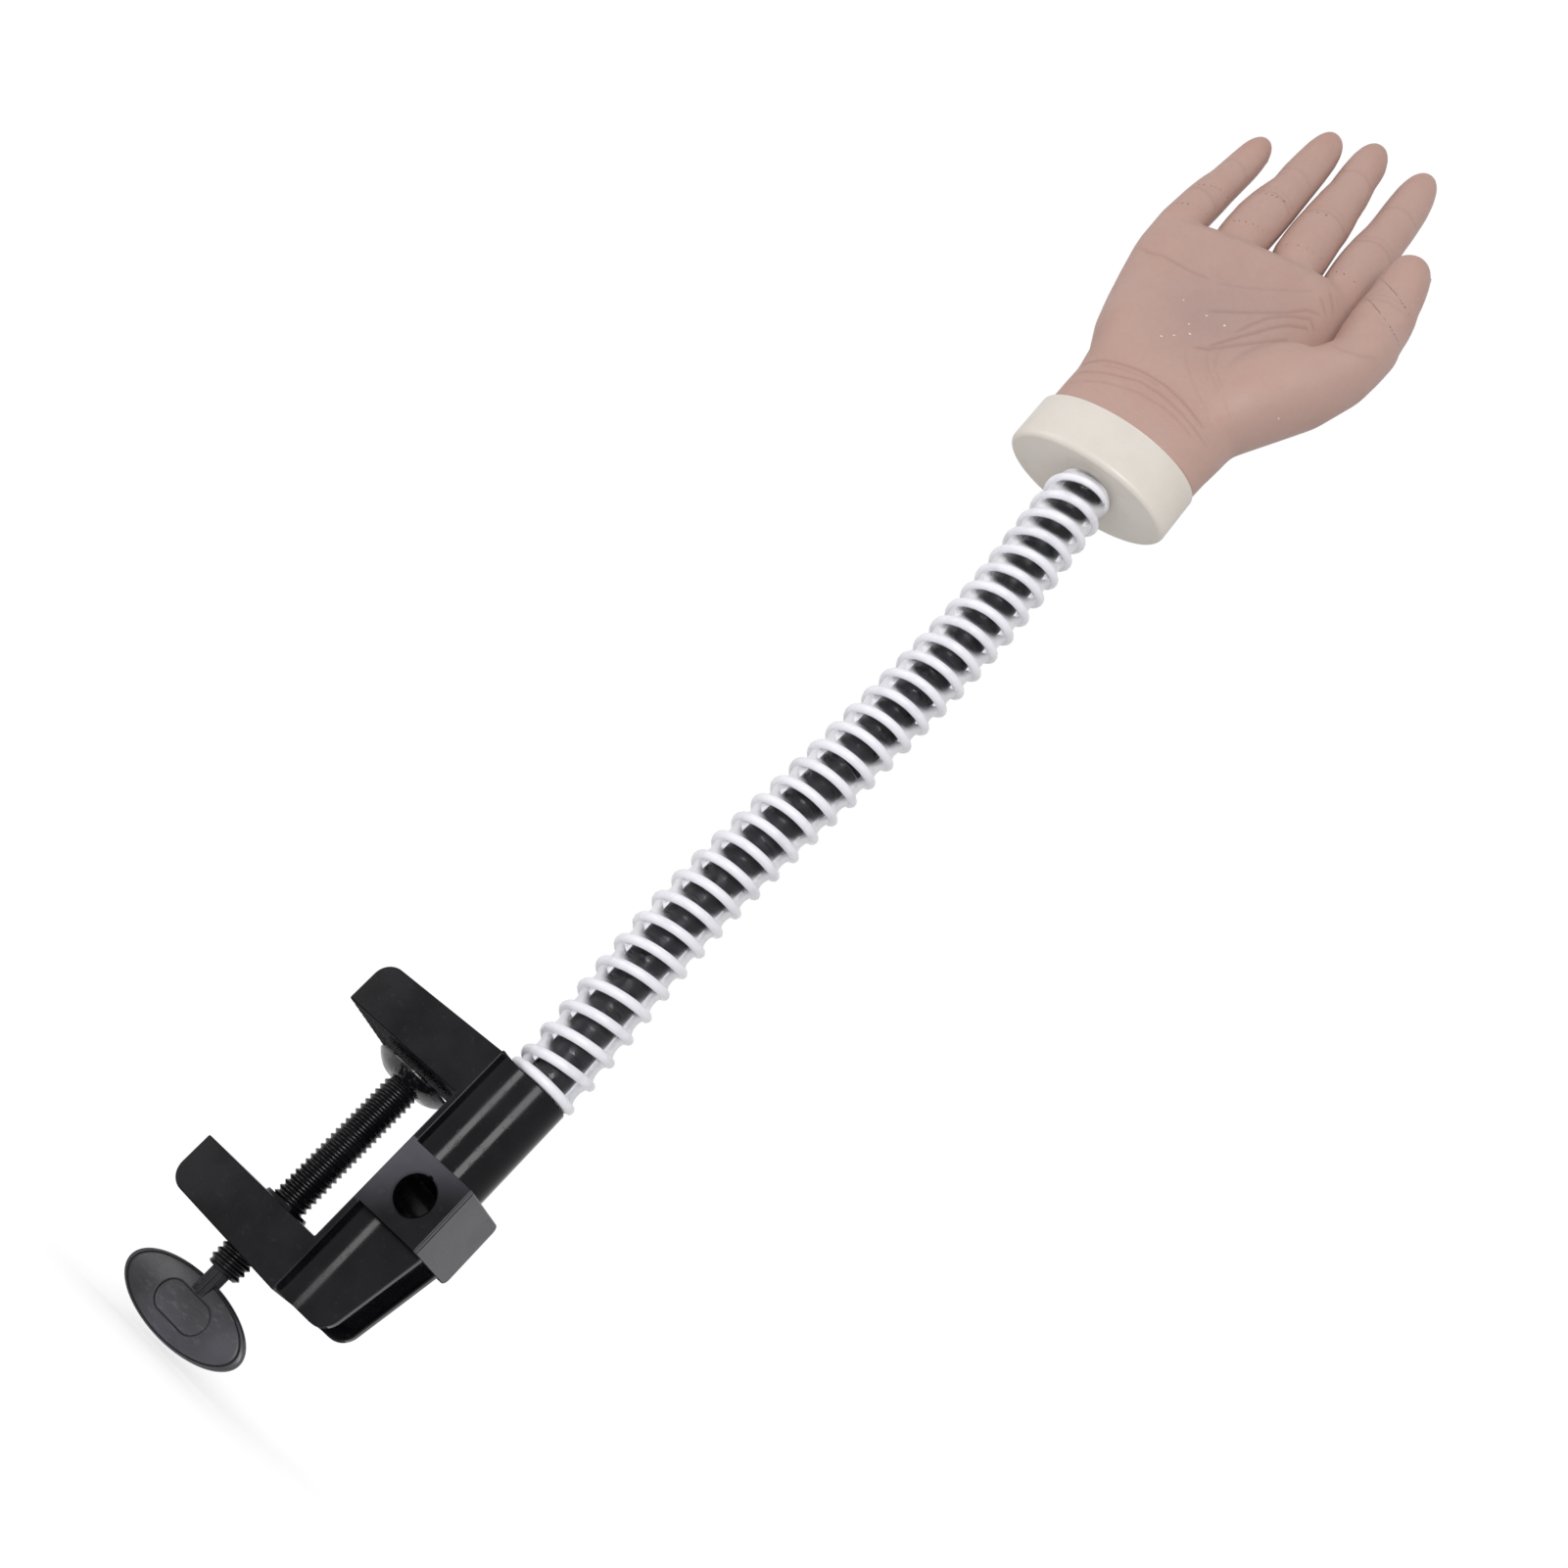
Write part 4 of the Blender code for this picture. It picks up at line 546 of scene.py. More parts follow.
def turned(name, profile, place, steps=72, squeeze=(1, 1, 1)):
    """Turned piece: an outline swept once round the upright axis, welded and closed."""
    work = bmesh.new()
    line = [work.verts.new((radius, 0, height)) for radius, height in profile]
    edges = [work.edges.new(pair) for pair in zip(line, line[1:])]
    bmesh.ops.spin(work, geom=line + edges, axis=(0, 0, 1), cent=(0, 0, 0), dvec=(0, 0, 0),
                   angle=2 * math.pi, steps=steps, use_merge=True, use_duplicate=False)
    bmesh.ops.remove_doubles(work, verts=work.verts, dist=1e-6)
    bmesh.ops.recalc_face_normals(work, faces=work.faces)
    bmesh.ops.transform(work, matrix=place @ Matrix.Diagonal((*squeeze, 1)), verts=work.verts)
    return settle(name, work)


pad_profile = [(0.0015, -0.0036), (0.0043, -0.0036), (0.0043, PAD_TOP - 0.0002), (0.0045, PAD_TOP),
               (0.0126, PAD_TOP), (0.0129, PAD_TOP - 0.0001), (PAD_RADIUS, PAD_TOP - 0.0004),
               (PAD_RADIUS, PAD_TOP - 0.0009)]
for k in range(1, BOWL_STEPS):
    share = 1 - k / BOWL_STEPS
    pad_profile.append((0.0058 + 0.0070 * share, PAD_TOP - 0.0011 - 0.0036 * (1 - share ** 2)))
pad_profile += [(0.0057, -0.0068), (0.0054, -0.0069), (0.0031, -0.0069), (0.0031, -0.0046), (0.0015, -0.0046),
                (0.0015, -0.0036)]
pad = turned("pad_bowl", pad_profile, Matrix())
polish(pad, 35)
pad_black, shader, place = new_finish("scuffed pad black", (0.008, 0.008, 0.009), Specular_IOR_Level=0.45)
# Painted sheen: random grey patches stand in for light on the bowl's hollow wall.
painted_sheen_patches = place.mottle(95.0, 2.0, 0.5).ease(0.46, 0.56)
scuff = place.stretched(4, 1, 3).mottle(260.0, 3.0).ease(0.52, 0.70)
feed(shader, Base_Color=(painted_sheen_patches * 0.6 + scuff * 0.4).tint((0.0065, 0.0065, 0.008, 1), (0.085, 0.085, 0.095, 1)),
     Roughness=painted_sheen_patches.ease(0, 1, 0.16, 0.34), Normal=relief(scuff + place.mottle(200.0), 0.00005))
pad.data.materials.append(pad_black)
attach(pad, "pad")
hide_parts("pressure_pad")

# Screw handle. An oval paddle that thins to a rim, with a fine line inside the rim and a long round-ended
# recess in both faces. The rim is rubbed grey by fingers. Light and shade are painted on: a lighter gradient
# across the faces, and dark shade along the fine line and round the recess.
HANDLE_MIDDLE = -0.08845
HANDLE_HALF_WIDTH = 0.02275
HANDLE_SQUEEZE = 0.0195 / 0.0455
HANDLE_HALF_THICKNESS = 0.0026
HANDLE_THINNING = 0.0015
HANDLE_STEPS = 24
LINE_SHARE = 0.925
LINE_DEPTH = 0.00022
profile = [(0.0, HANDLE_HALF_THICKNESS)]
for k in range(1, HANDLE_STEPS - 1):
    share = k / HANDLE_STEPS
    radius, height = HANDLE_HALF_WIDTH * share, HANDLE_HALF_THICKNESS - HANDLE_THINNING * share ** 2.2
    profile.append((radius, height - LINE_DEPTH * math.exp(-((radius / HANDLE_HALF_WIDTH - LINE_SHARE) / 0.012) ** 2)))
profile += [(HANDLE_HALF_WIDTH * share, height)
            for share, height in ((0.905, 0.00138), (0.918, 0.00112), (0.930, 0.00110), (0.942, 0.00128))]
profile = sorted(set(profile))
profile += [(HANDLE_HALF_WIDTH * share, height) for share, height in ((0.975, 0.00112), (0.992, 0.00085), (1, 0.00040))]
profile += [(radius, -height) for radius, height in reversed(profile)]
handle = turned("handle_paddle", profile, Matrix.Translation((0, 0, HANDLE_MIDDLE)) @ SIDE_ON, 96,
                (1, HANDLE_SQUEEZE, 1))
RECESS_HALF_WIDTH = 0.0093
RECESS_HALF_HEIGHT = 0.0047
RECESS_DEPTH = 0.0005
TOOL_HALF_THICKNESS = 0.0015
run = RECESS_HALF_WIDTH - RECESS_HALF_HEIGHT
recess_outline = arc((run, 0), RECESS_HALF_HEIGHT, -90, 90, 20) + arc((-run, 0), RECESS_HALF_HEIGHT, 90, 270, 20)
tool_side = HANDLE_HALF_THICKNESS - RECESS_DEPTH + TOOL_HALF_THICKNESS
recesses = [prism(recess_outline, TOOL_HALF_THICKNESS,
                  Matrix.Translation((0, side * tool_side, HANDLE_MIDDLE)) @ SIDE_ON) for side in (-1, 1)]
carve(handle, recesses, "DIFFERENCE")
polish(handle, 28)
true_flats(handle)
handle_black, shader, place = new_finish("rubbed handle black", (0.007, 0.007, 0.008), Specular_IOR_Level=0.45)
sideways, _, height = place.axes()
upright = height - HANDLE_MIDDLE
beyond = (abs(sideways) - run).at_least(0.0)
from_recess = (beyond * beyond + upright * upright).square_root() - RECESS_HALF_HEIGHT
tall = upright * (1 / HANDLE_SQUEEZE)
from_rim = (sideways * sideways + tall * tall).square_root() - HANDLE_HALF_WIDTH * LINE_SHARE
# Painted shade: the fine line inside the rim and the recess's edge are darkened.
lines = abs(from_recess).ease(0.00010, 0.00032, 1.0, 0.0).at_least(abs(from_rim).ease(0.00012, 0.00042, 1.0, 0.0))
# Painted light: the faces are painted lighter towards one end and downwards, as a lamp's gleam.
painted_gleam = (sideways - upright * 1.5).ease(-0.012, 0.022)
rubbed = place.stretched(1, 1, 3).mottle(300.0, 5.0, 0.7).ease(0.50, 0.66) * place.mottle(60.0).ease(0.42, 0.60)
tone = (rubbed * 0.35 + place.mottle(45.0, 4.0).ease(0.35, 0.75) * 0.35 + painted_gleam * 0.4).tint(
    (0.0060, 0.0060, 0.0080, 1), (0.090, 0.088, 0.108, 1))
feed(shader, Base_Color=lines.tint(tone, (0.002, 0.002, 0.0025, 1)),
     Roughness=place.mottle(70.0).ease(0.3, 0.7, 0.20, 0.34) + rubbed * 0.15 + lines * 0.4,
     Normal=relief(rubbed * 0.15 + place.mottle(240.0) * 0.2 - lines * 3.0, 0.00005))
handle.data.materials.clear()
handle.data.materials.append(handle_black)
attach(handle, "screw")
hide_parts("screw_handle")

# Pad rivet, ferrules and plug nut. Plain turned steel, hidden or nearly so once the stand is put together.
def dress(name, finish):
    """Give a piece of the working model its finish."""
    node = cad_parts[name]
    node.data.materials.clear()
    node.data.materials.append(finish)


steel, shader, place = new_finish("turned steel", (0.50, 0.50, 0.51), Metallic=1.0)
lathe_lines = place.stretched(1, 1, 40).mottle(90.0, 3.0)
feed(shader, Base_Color=lathe_lines.tint((0.40, 0.40, 0.41, 1), (0.62, 0.62, 0.63, 1)),
     Roughness=place.mottle(120.0).ease(0.3, 0.7, 0.24, 0.42), Normal=relief(lathe_lines, 0.00002))
for name in ("pad_rivet", "lower_ferrule", "upper_ferrule", "plug_nut"):
    dress(name, steel)

# Gooseneck. A black wound metal core that keeps the bend it is given, inside a clear soft sleeve with a white
# rib wound round it. Each is made in a lower and an upper half.
NECK_RISE = 0.2653
NECK_SHARES = (0.0, 0.26, 0.50, 0.76, 1.0)
NECK_SWAYS = (0.0, -0.0041, -0.0017, -0.0012, -0.0071)
NECK_LEAN = math.radians(5.1)
NECK_BACK = math.radians(2.75)
HAND_TURN = math.radians(10.9)
NECK_SPLIT = 0.1327
hand_turn = (Matrix.Rotation(-NECK_LEAN, 4, "Y") @ Matrix.Rotation(-NECK_BACK, 4, "X")
             @ Matrix.Rotation(HAND_TURN, 4, "Z"))
knot_heights = [NECK_RISE * share for share in NECK_SHARES]
knots = [Vector((SCREW_SETBACK + TUBE_RADIUS + sway, 0, MOUTH + height))
         for sway, height in zip(NECK_SWAYS, knot_heights)]
slopes = [Vector((0, 0, 1))]
for low, high in ((0, 2), (1, 3), (2, 4)):
    slopes.append((knots[high] - knots[low]) / (knot_heights[high] - knot_heights[low]))
lean = hand_turn @ Vector((0, 0, 1))
slopes.append(lean / lean.z)


def neck_point(height):
    """Place and direction of the neck's middle line at a height above the socket's mouth."""
    if height <= 0:
        return knots[0] + slopes[0] * height, slopes[0]
    if height >= NECK_RISE:
        return knots[-1] + slopes[-1] * (height - NECK_RISE), slopes[-1].normalized()
    k = max(i for i in range(4) if knot_heights[i] <= height)
    span = knot_heights[k + 1] - knot_heights[k]
    s = (height - knot_heights[k]) / span
    rise = 3 * s * s - 2 * s ** 3
    point = ((1 - rise) * knots[k] + rise * knots[k + 1]
             + span * ((s ** 3 - 2 * s * s + s) * slopes[k] + (s ** 3 - s * s) * slopes[k + 1]))
    along = ((6 * s - 6 * s * s) / span * (knots[k + 1] - knots[k]) + (3 * s * s - 4 * s + 1) * slopes[k]
             + (3 * s * s - 2 * s) * slopes[k + 1])
    return point, along.normalized()


def round_tube(name, points, radii, sides):
    """Round bar or rib along points, with filled ends, made from a curve."""
    curve = bpy.data.curves.new(name, "CURVE")
    curve.dimensions = "3D"
    curve.bevel_depth = 1.0
    curve.bevel_resolution = sides
    curve.use_fill_caps = True
    path = curve.splines.new("POLY")
    path.points.add(len(points) - 1)
    for point, place, radius in zip(path.points, points, radii):
        point.co = (*place, 1)
        point.radius = radius
    line = put_in_scene(name, curve)
    mesh = finished_mesh(line)
    bpy.data.objects.remove(line, do_unlink=True)
    made = put_in_scene(name, mesh)
    mesh.materials.clear()
    polish(made, 60)
    return made


def bend_with_neck(part, node, lower):
    """Put a half of the neck in place of the whole node."""
    split, _ = neck_point(NECK_SPLIT)
    top = neck_point(NECK_RISE)[0]
    if lower:
        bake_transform(part)
    else:
        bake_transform(part)
    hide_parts(node)


HALVES = ((True, "lower", 0.0, NECK_SPLIT), (False, "upper", NECK_SPLIT, NECK_RISE))
core_black, shader, place = new_finish("wound core black", (0.012, 0.012, 0.014), Specular_IOR_Level=0.22)
winding = place.stretched(1, 1, 30).mottle(110.0, 3.0)
feed(shader, Base_Color=winding.ease(0.35, 0.7).tint((0.004, 0.004, 0.005, 1), (0.030, 0.030, 0.035, 1)),
     Roughness=place.mottle(90.0).ease(0.3, 0.7, 0.24, 0.36), Normal=relief(winding, 0.00008))
CORE_RADIUS = 0.00655
WIND_PITCH = 0.00062
WIND_DEPTH = 0.00010
CORE_START = 0.0022
CORE_END = NECK_RISE + 0.0120
for lower, half, low, high in HALVES:
    low, high = (CORE_START, high) if lower else (low, CORE_END)
    count = int((high - low) / WIND_PITCH * 2)
    heights = [low + (high - low) * k / count for k in range(count + 1)]
    core = round_tube(f"neck_core_{half}", [neck_point(h)[0] for h in heights],
                      [CORE_RADIUS - WIND_DEPTH * (k % 2) for k in range(count + 1)], 10)
    core.data.materials.append(core_black)
    bend_with_neck(core, "neck_core", lower)

# Hose sleeve. A clear soft tube, drawn in between the turns of the rib, so that its wall swells where the rib
# lies on it. Its clear wall looks milky where it is seen edge on.
SPIRAL_TURNS = 31
RIB_RADIUS = 0.00155
RIB_WIND = 0.01010
rib_low = RIB_RADIUS + 0.0002
rib_high = NECK_RISE - RIB_RADIUS - 0.0009
RIB_PITCH = (rib_high - rib_low) / SPIRAL_TURNS
SLEEVE_RADIUS = 0.00930
SLEEVE_SWELL = 0.00110
SLEEVE_END_SWELL = 0.0003
SLEEVE_WALL = 0.00035
SLEEVE_GAP = 0.0004
SLEEVE_ROW = 0.00078
sleeve_clear, shader, place = new_finish("clear soft sleeve", (0.93, 0.93, 0.96), Transmission_Weight=1.0, IOR=1.14)
haze = place.mottle(70.0, 3.0)
feed(shader, Base_Color=haze.ease(0.3, 0.7).tint((0.90, 0.90, 0.94, 1), (0.97, 0.97, 0.99, 1)),
     Roughness=haze.ease(0.3, 0.75, 0.04, 0.14), Normal=relief(place.mottle(260.0, 2.0), 0.00006))
sleeve_tree = sleeve_clear.node_tree
milky = sleeve_tree.nodes.new("ShaderNodeBsdfPrincipled")
for inlet, value in (("Roughness", 0.3), ("Subsurface Weight", 0.3), ("Subsurface Radius", (0.002, 0.002, 0.002))):
    milky.inputs[inlet].default_value = value
feed(milky, Base_Color=haze.ease(0.3, 0.7).tint((0.80, 0.80, 0.84, 1), (0.90, 0.90, 0.93, 1)))
edge_on = place.add("ShaderNodeLayerWeight", {"Blend": 0.5}, "Facing")
mix_shaders(edge_on.ease(0.22, 0.60, 0.0, 0.80), Signal(sleeve_tree, shader.outputs[0]),
            Signal(sleeve_tree, milky.outputs[0]))


def neck_frame(height):
    middle, along = neck_point(height)
    side = along.cross(Vector((1, 0, 0))).normalized()
    return middle, side.cross(along), side


for lower, half, low, high in HALVES:
    low, high = (low + SLEEVE_GAP, high) if lower else (low, high - SLEEVE_GAP)
    rows = int((high - low) / SLEEVE_ROW)
    work = bmesh.new()
    bmesh.ops.create_grid(work, x_segments=44, y_segments=rows, size=0.5)
    for v in work.verts:
        turn = (v.co.x + 0.5) * 2 * math.pi
        height = low + (v.co.y + 0.5) * (high - low)
        middle, out, side = neck_frame(height)
        phase = (height - rib_low) / RIB_PITCH - turn / (2 * math.pi)
        near_rib = math.cos(math.pi * phase) ** 2
        inside = rib_low - 0.3 * RIB_PITCH < height < rib_high + 0.3 * RIB_PITCH
        radius = SLEEVE_RADIUS + (SLEEVE_SWELL * near_rib ** 1.5 if inside else SLEEVE_END_SWELL)
        v.co = middle + radius * (math.cos(turn) * out + math.sin(turn) * side)
    bmesh.ops.remove_doubles(work, verts=work.verts, dist=1e-6)
    bmesh.ops.recalc_face_normals(work, faces=work.faces)
    bmesh.ops.solidify(work, geom=work.faces[:], thickness=SLEEVE_WALL)
    bmesh.ops.recalc_face_normals(work, faces=work.faces)
    sleeve = settle(f"hose_sleeve_{half}", work)
    polish(sleeve, 60)
    sleeve.data.materials.append(sleeve_clear)
    bend_with_neck(sleeve, "hose_sleeve", lower)

# Hose rib. Extruded white vinyl wound round the sleeve. It is glossy and slightly blue, a little dirty on its
# inner side, and its first and last turns are flattened where they are glued.
rib_white, shader, place = new_finish("white vinyl rib", (0.84, 0.83, 0.87), Subsurface_Weight=0.6,
                                      Subsurface_Radius=(0.004, 0.004, 0.0042))
grime = place.mottle(130.0, 4.0).ease(0.45, 0.75)
feed(shader, Base_Color=grime.tint((0.86, 0.85, 0.90, 1), (0.74, 0.73, 0.78, 1)),
     Roughness=place.mottle(80.0).ease(0.3, 0.7, 0.16, 0.30), Normal=relief(place.mottle(300.0, 2.0), 0.00004))
RIB_STEPS = 44
rib_split = round((NECK_SPLIT - rib_low) / RIB_PITCH * RIB_STEPS)
FLAT_STEPS = 38
for lower, half, first, last in ((True, "lower", -FLAT_STEPS, rib_split),
                                 (False, "upper", rib_split, SPIRAL_TURNS * RIB_STEPS)):
    points, radii = [], []
    for k in range(first, last + 1):
        middle, out, side = neck_frame(rib_low + RIB_PITCH * max(k, 0) / RIB_STEPS)
        turn = 2 * math.pi * k / RIB_STEPS
        from_end = min(k + FLAT_STEPS, SPIRAL_TURNS * RIB_STEPS - k) / (0.6 * RIB_STEPS)
        flat = 1 - 0.35 * max(0.0, 1 - from_end) ** 2
        points.append(middle + (RIB_WIND - RIB_RADIUS * (1 - flat)) * (math.cos(turn) * out + math.sin(turn) * side))
        radii.append(RIB_RADIUS * flat)
    rib = round_tube(f"hose_rib_{half}", points, radii, 5)
    rib.data.materials.append(rib_white)
    bend_with_neck(rib, "hose_spiral", lower)

# Wrist plug. A cream oval moulding with a rounded lower edge, a thin raised lip where the skin ends, a hole
# for the neck below, and a spigot that the skin is stretched over.
hand_place = Matrix.Translation(neck_point(NECK_RISE)[0]) @ hand_turn
PLUG_HALF_WIDTH = 0.0302
PLUG_HALF_DEPTH = 0.0162
PLUG_HEIGHT = 0.0200
PLUG_ROUND = 0.0021


def oval(work, centre, half_width, half_depth, squareness=2.0, slope=0.0, place=Matrix(), steps=40):
    """Ring of a rounded section, level or sloped to one side, and its edges."""
    ring = bmesh.ops.create_circle(work, segments=steps, radius=1.0)["verts"]
    for v in ring:
        x = half_width * math.copysign(abs(v.co.x) ** (2 / squareness), v.co.x)
        y = half_depth * math.copysign(abs(v.co.y) ** (2 / squareness), v.co.y)
        v.co = place @ Vector((centre[0] + x, centre[1] + y, centre[2] + x * slope))
    return list({e for v in ring for e in v.link_edges})


def join_rings(work, rings, closed_ends=True):
    """Bridge ring after ring into a skin and close its ends."""
    for low, high in zip(rings, rings[1:]):
        bmesh.ops.bridge_loops(work, edges=low + high)
    if closed_ends:
        for ring in (rings[0], rings[-1]):
            bmesh.ops.contextual_create(work, geom=ring)


plug_rings = []
work = bmesh.new()
for height, radius in ((0.0289, 0.0060), (0.0150, 0.0060), (0.0150, 0.0071), (0.0012, 0.0071), (0.0004, 0.0074),
                       (0.0001, 0.0079), (0.0, 0.0082), (0.0, 0.0086)):
    plug_rings.append(oval(work, (0, 0, height), radius, radius, steps=128))
for k in range(9):
    turn = math.radians(90 * k / 8)
    inset = PLUG_ROUND * (1 - math.sin(turn))
    plug_rings.append(oval(work, (0, 0, PLUG_ROUND * (1 - math.cos(turn))), PLUG_HALF_WIDTH - inset,
                           PLUG_HALF_DEPTH - inset, steps=128))
for height, inset in ((0.0150, 0.0), (0.01935, 0.0), (0.01945, 0.00012), (0.01955, 0.00012), (0.0197, 0.0),
                      (0.0199, 0.00004), (0.0200, 0.00025), (0.0200, 0.0008), (0.0196, 0.0010), (0.0196, 0.0048),
                      (0.0199, 0.0051), (0.0289, 0.0051)):
    plug_rings.append(oval(work, (0, 0, height), PLUG_HALF_WIDTH - inset, PLUG_HALF_DEPTH - inset, steps=128))
join_rings(work, plug_rings + plug_rings[:1], False)
bmesh.ops.recalc_face_normals(work, faces=work.faces)
bmesh.ops.transform(work, matrix=hand_place, verts=work.verts)
plug = settle("wrist_plug_body", work)
polish(plug, 40)
plug_cream, shader, place = new_finish("cream plug moulding", (0.69, 0.635, 0.585), Subsurface_Weight=0.10,
                                       Subsurface_Radius=(0.004, 0.003, 0.002))
bloom = place.mottle(38.0, 4.0)
marks = place.stretched(1, 1, 5).mottle(210.0, 3.0).ease(0.58, 0.74)
feed(shader, Base_Color=(bloom.ease(0.3, 0.75) * 0.7 + marks * 0.3).tint((0.715, 0.665, 0.610, 1),
                                                                      (0.640, 0.580, 0.515, 1)),
     Roughness=bloom.ease(0.3, 0.7, 0.30, 0.46) + marks * 0.1,
     Normal=relief(place.mottle(180.0, 2.0) + marks * 0.4, 0.00005))
plug.data.materials.append(plug_cream)
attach(plug, "palm")
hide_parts("wrist_plug")

# Armature. Plain off-white mouldings and steel pins inside the hand, seen only where a joint opens.
armature_white, shader, place = new_finish("armature white", (0.68, 0.67, 0.64))
grain = place.mottle(160.0, 3.0)
feed(shader, Base_Color=grain.ease(0.3, 0.7).tint((0.70, 0.69, 0.66, 1), (0.60, 0.59, 0.56, 1)),
     Roughness=grain.ease(0.3, 0.7, 0.40, 0.55), Normal=relief(grain, 0.00005))
dress("palm_plate", armature_white)
for finger in ("index", "middle", "ring", "little", "thumb"):
    for pin in ("knuckle_pin", "middle_pin"):
        dress(f"{finger}_{pin}", steel)

# Hand. One soft grey-brown silicone casting of a right hand, a little translucent, with a moulded skin's
# creases, fleshy pads and knuckles. Palm and fingers are laid out as rounded lengths, grown into one skin,
# worked over like clay, and then parted where the joints' bending begins and ends.
PALM_RINGS = (
    (0.0196, 0.0005, 0.0000, 0.0288, 0.0150), (0.0300, 0.0008, 0.0000, 0.0291, 0.0154),
    (0.0380, 0.0014, 0.0000, 0.0295, 0.0158), (0.0500, 0.0011, 0.0000, 0.0309, 0.0162),
    (0.0620, -0.0006, 0.0000, 0.0338, 0.0158), (0.0740, -0.0014, 0.0000, 0.0355, 0.0150),
    (0.0900, -0.0018, 0.0005, 0.0378, 0.0138), (0.1060, -0.0022, 0.0010, 0.0398, 0.0126),
    (0.1190, -0.0026, 0.0010, 0.0400, 0.0116), (0.1248, -0.0026, 0.0010, 0.0372, 0.0081),
)
THENAR_RINGS = (
    (0.0360, 0.0130, -0.0010, 0.0130, 0.0120), (0.0460, 0.0185, -0.0030, 0.0140, 0.0130),
    (0.0580, 0.0252, -0.0058, 0.0152, 0.0142), (0.0720, 0.0338, -0.0086, 0.0156, 0.0148),
    (0.0870, 0.0428, -0.0118, 0.0126, 0.0138), (0.0960, 0.0460, -0.0130, 0.0107, 0.0126),
    (0.1060, 0.0463, -0.0133, 0.0112, 0.0123),
)
# Slope that carries the palm up to the front of the thumb's base
SLOPE_RINGS = (
    (0.0440, 0.0150, -0.0030, 0.0130, 0.0113), (0.0560, 0.0205, -0.0050, 0.0150, 0.0130),
    (0.0700, 0.0265, -0.0073, 0.0158, 0.0143), (0.0785, 0.0300, -0.0086, 0.0142, 0.0137),
    (0.0845, 0.0330, -0.0102, 0.0108, 0.0118),
)
# Finger: root side, root height, tip side, tip height, half width at root and tip, curl
FINGERS = {
    "index": (0.0277, 0.1300, 0.0255, 0.2013, 0.0102, 0.0078, 0.0030),
    "middle": (0.0078, 0.1290, 0.0042, 0.2012, 0.0102, 0.0079, 0.0025),
    "ring": (-0.0138, 0.1240, -0.0112, 0.1932, 0.0100, 0.0073, 0.0035),
    "little": (-0.0345, 0.1170, -0.0295, 0.1720, 0.0091, 0.0066, 0.0040),
}
FINGER_DEPTH = 0.0010
# Along a finger: place as a share of its length, half width as a share of its taper, side swell in metres
FINGER_SHARES = (
    (-0.28, 0.72, 0.0), (0.0, 0.90, 0.0), (0.12, 0.93, -0.0002), (0.26, 0.96, -0.0004), (0.40, 0.96, -0.0003),
    (0.50, 0.915, 0.0), (0.60, 0.925, 0.0), (0.72, 0.935, 0.0), (0.84, 0.91, 0.0), (0.92, 0.80, 0.0),
    (0.97, 0.58, 0.0), (1.0, 0.22, 0.0),
)
THUMB_ROOT = Vector((0.0458, -0.0140, 0.1040))
THUMB_TIP = Vector((0.0430, -0.0165, 0.1456))
finger_places = {}
for finger, (side, height, tip_side, tip_height, root, tip, curl) in FINGERS.items():
    along = Vector((tip_side - side, 0, tip_height - height))
    turn = Matrix.Rotation(math.atan2(along.x, along.z), 4, "Y")
    finger_places[finger] = (Matrix.Translation((side, FINGER_DEPTH, height)) @ turn, along.length, root, tip, curl)
along = THUMB_TIP - THUMB_ROOT
turn = Vector((0, 0, 1)).rotation_difference(along).to_matrix().to_4x4() @ Matrix.Rotation(math.radians(-34), 4, "Z")
finger_places["thumb"] = (Matrix.Translation(THUMB_ROOT) @ turn, along.length, 0.0122, 0.0082, 0.0020)


def finger_width(root, tip, share):
    shares = [s for s, _, _ in FINGER_SHARES]
    factor = float(np.interp(share, shares, [w for _, w, _ in FINGER_SHARES]))
    return (root + (tip - root) * min(max(share, 0), 1)) * factor


work = bmesh.new()
palm_slope = math.tan(math.radians(12.5))
rings = []
for height, side, depth, half_width, half_depth in PALM_RINGS:
    share = min(1.0, max(0.0, (height - 0.0540) / (0.1190 - 0.0540)))
    rings.append(oval(work, (side, depth, height), half_width, half_depth, 2.4, palm_slope * share, steps=56))
join_rings(work, rings)
for bulk in (THENAR_RINGS, SLOPE_RINGS):
    join_rings(work, [oval(work, (side, depth, height), half_width, half_depth)
                      for height, side, depth, half_width, half_depth in bulk])
for finger, (place, length, root, tip, curl) in finger_places.items():
    rings = []
    for share, _, swell in FINGER_SHARES:
        half = finger_width(root, tip, share)
        swell = 0 if finger == "thumb" else swell
        rings.append(oval(work, (swell, -curl * max(share, 0) ** 2, length * share), half, half * 0.93, 2.2,
                          place=place, steps=36))
    join_rings(work, rings)
bmesh.ops.recalc_face_normals(work, faces=work.faces)
skin = settle("hand_skin", work)
SKIN_GRAIN = 0.00058
grow = skin.modifiers.new("grow together", "REMESH")
grow.mode = "VOXEL"
grow.voxel_size = SKIN_GRAIN
soften = skin.modifiers.new("soften", "SMOOTH")
soften.factor = 0.5
soften.iterations = 70
skin.data = finished_mesh(skin)
skin.modifiers.clear()


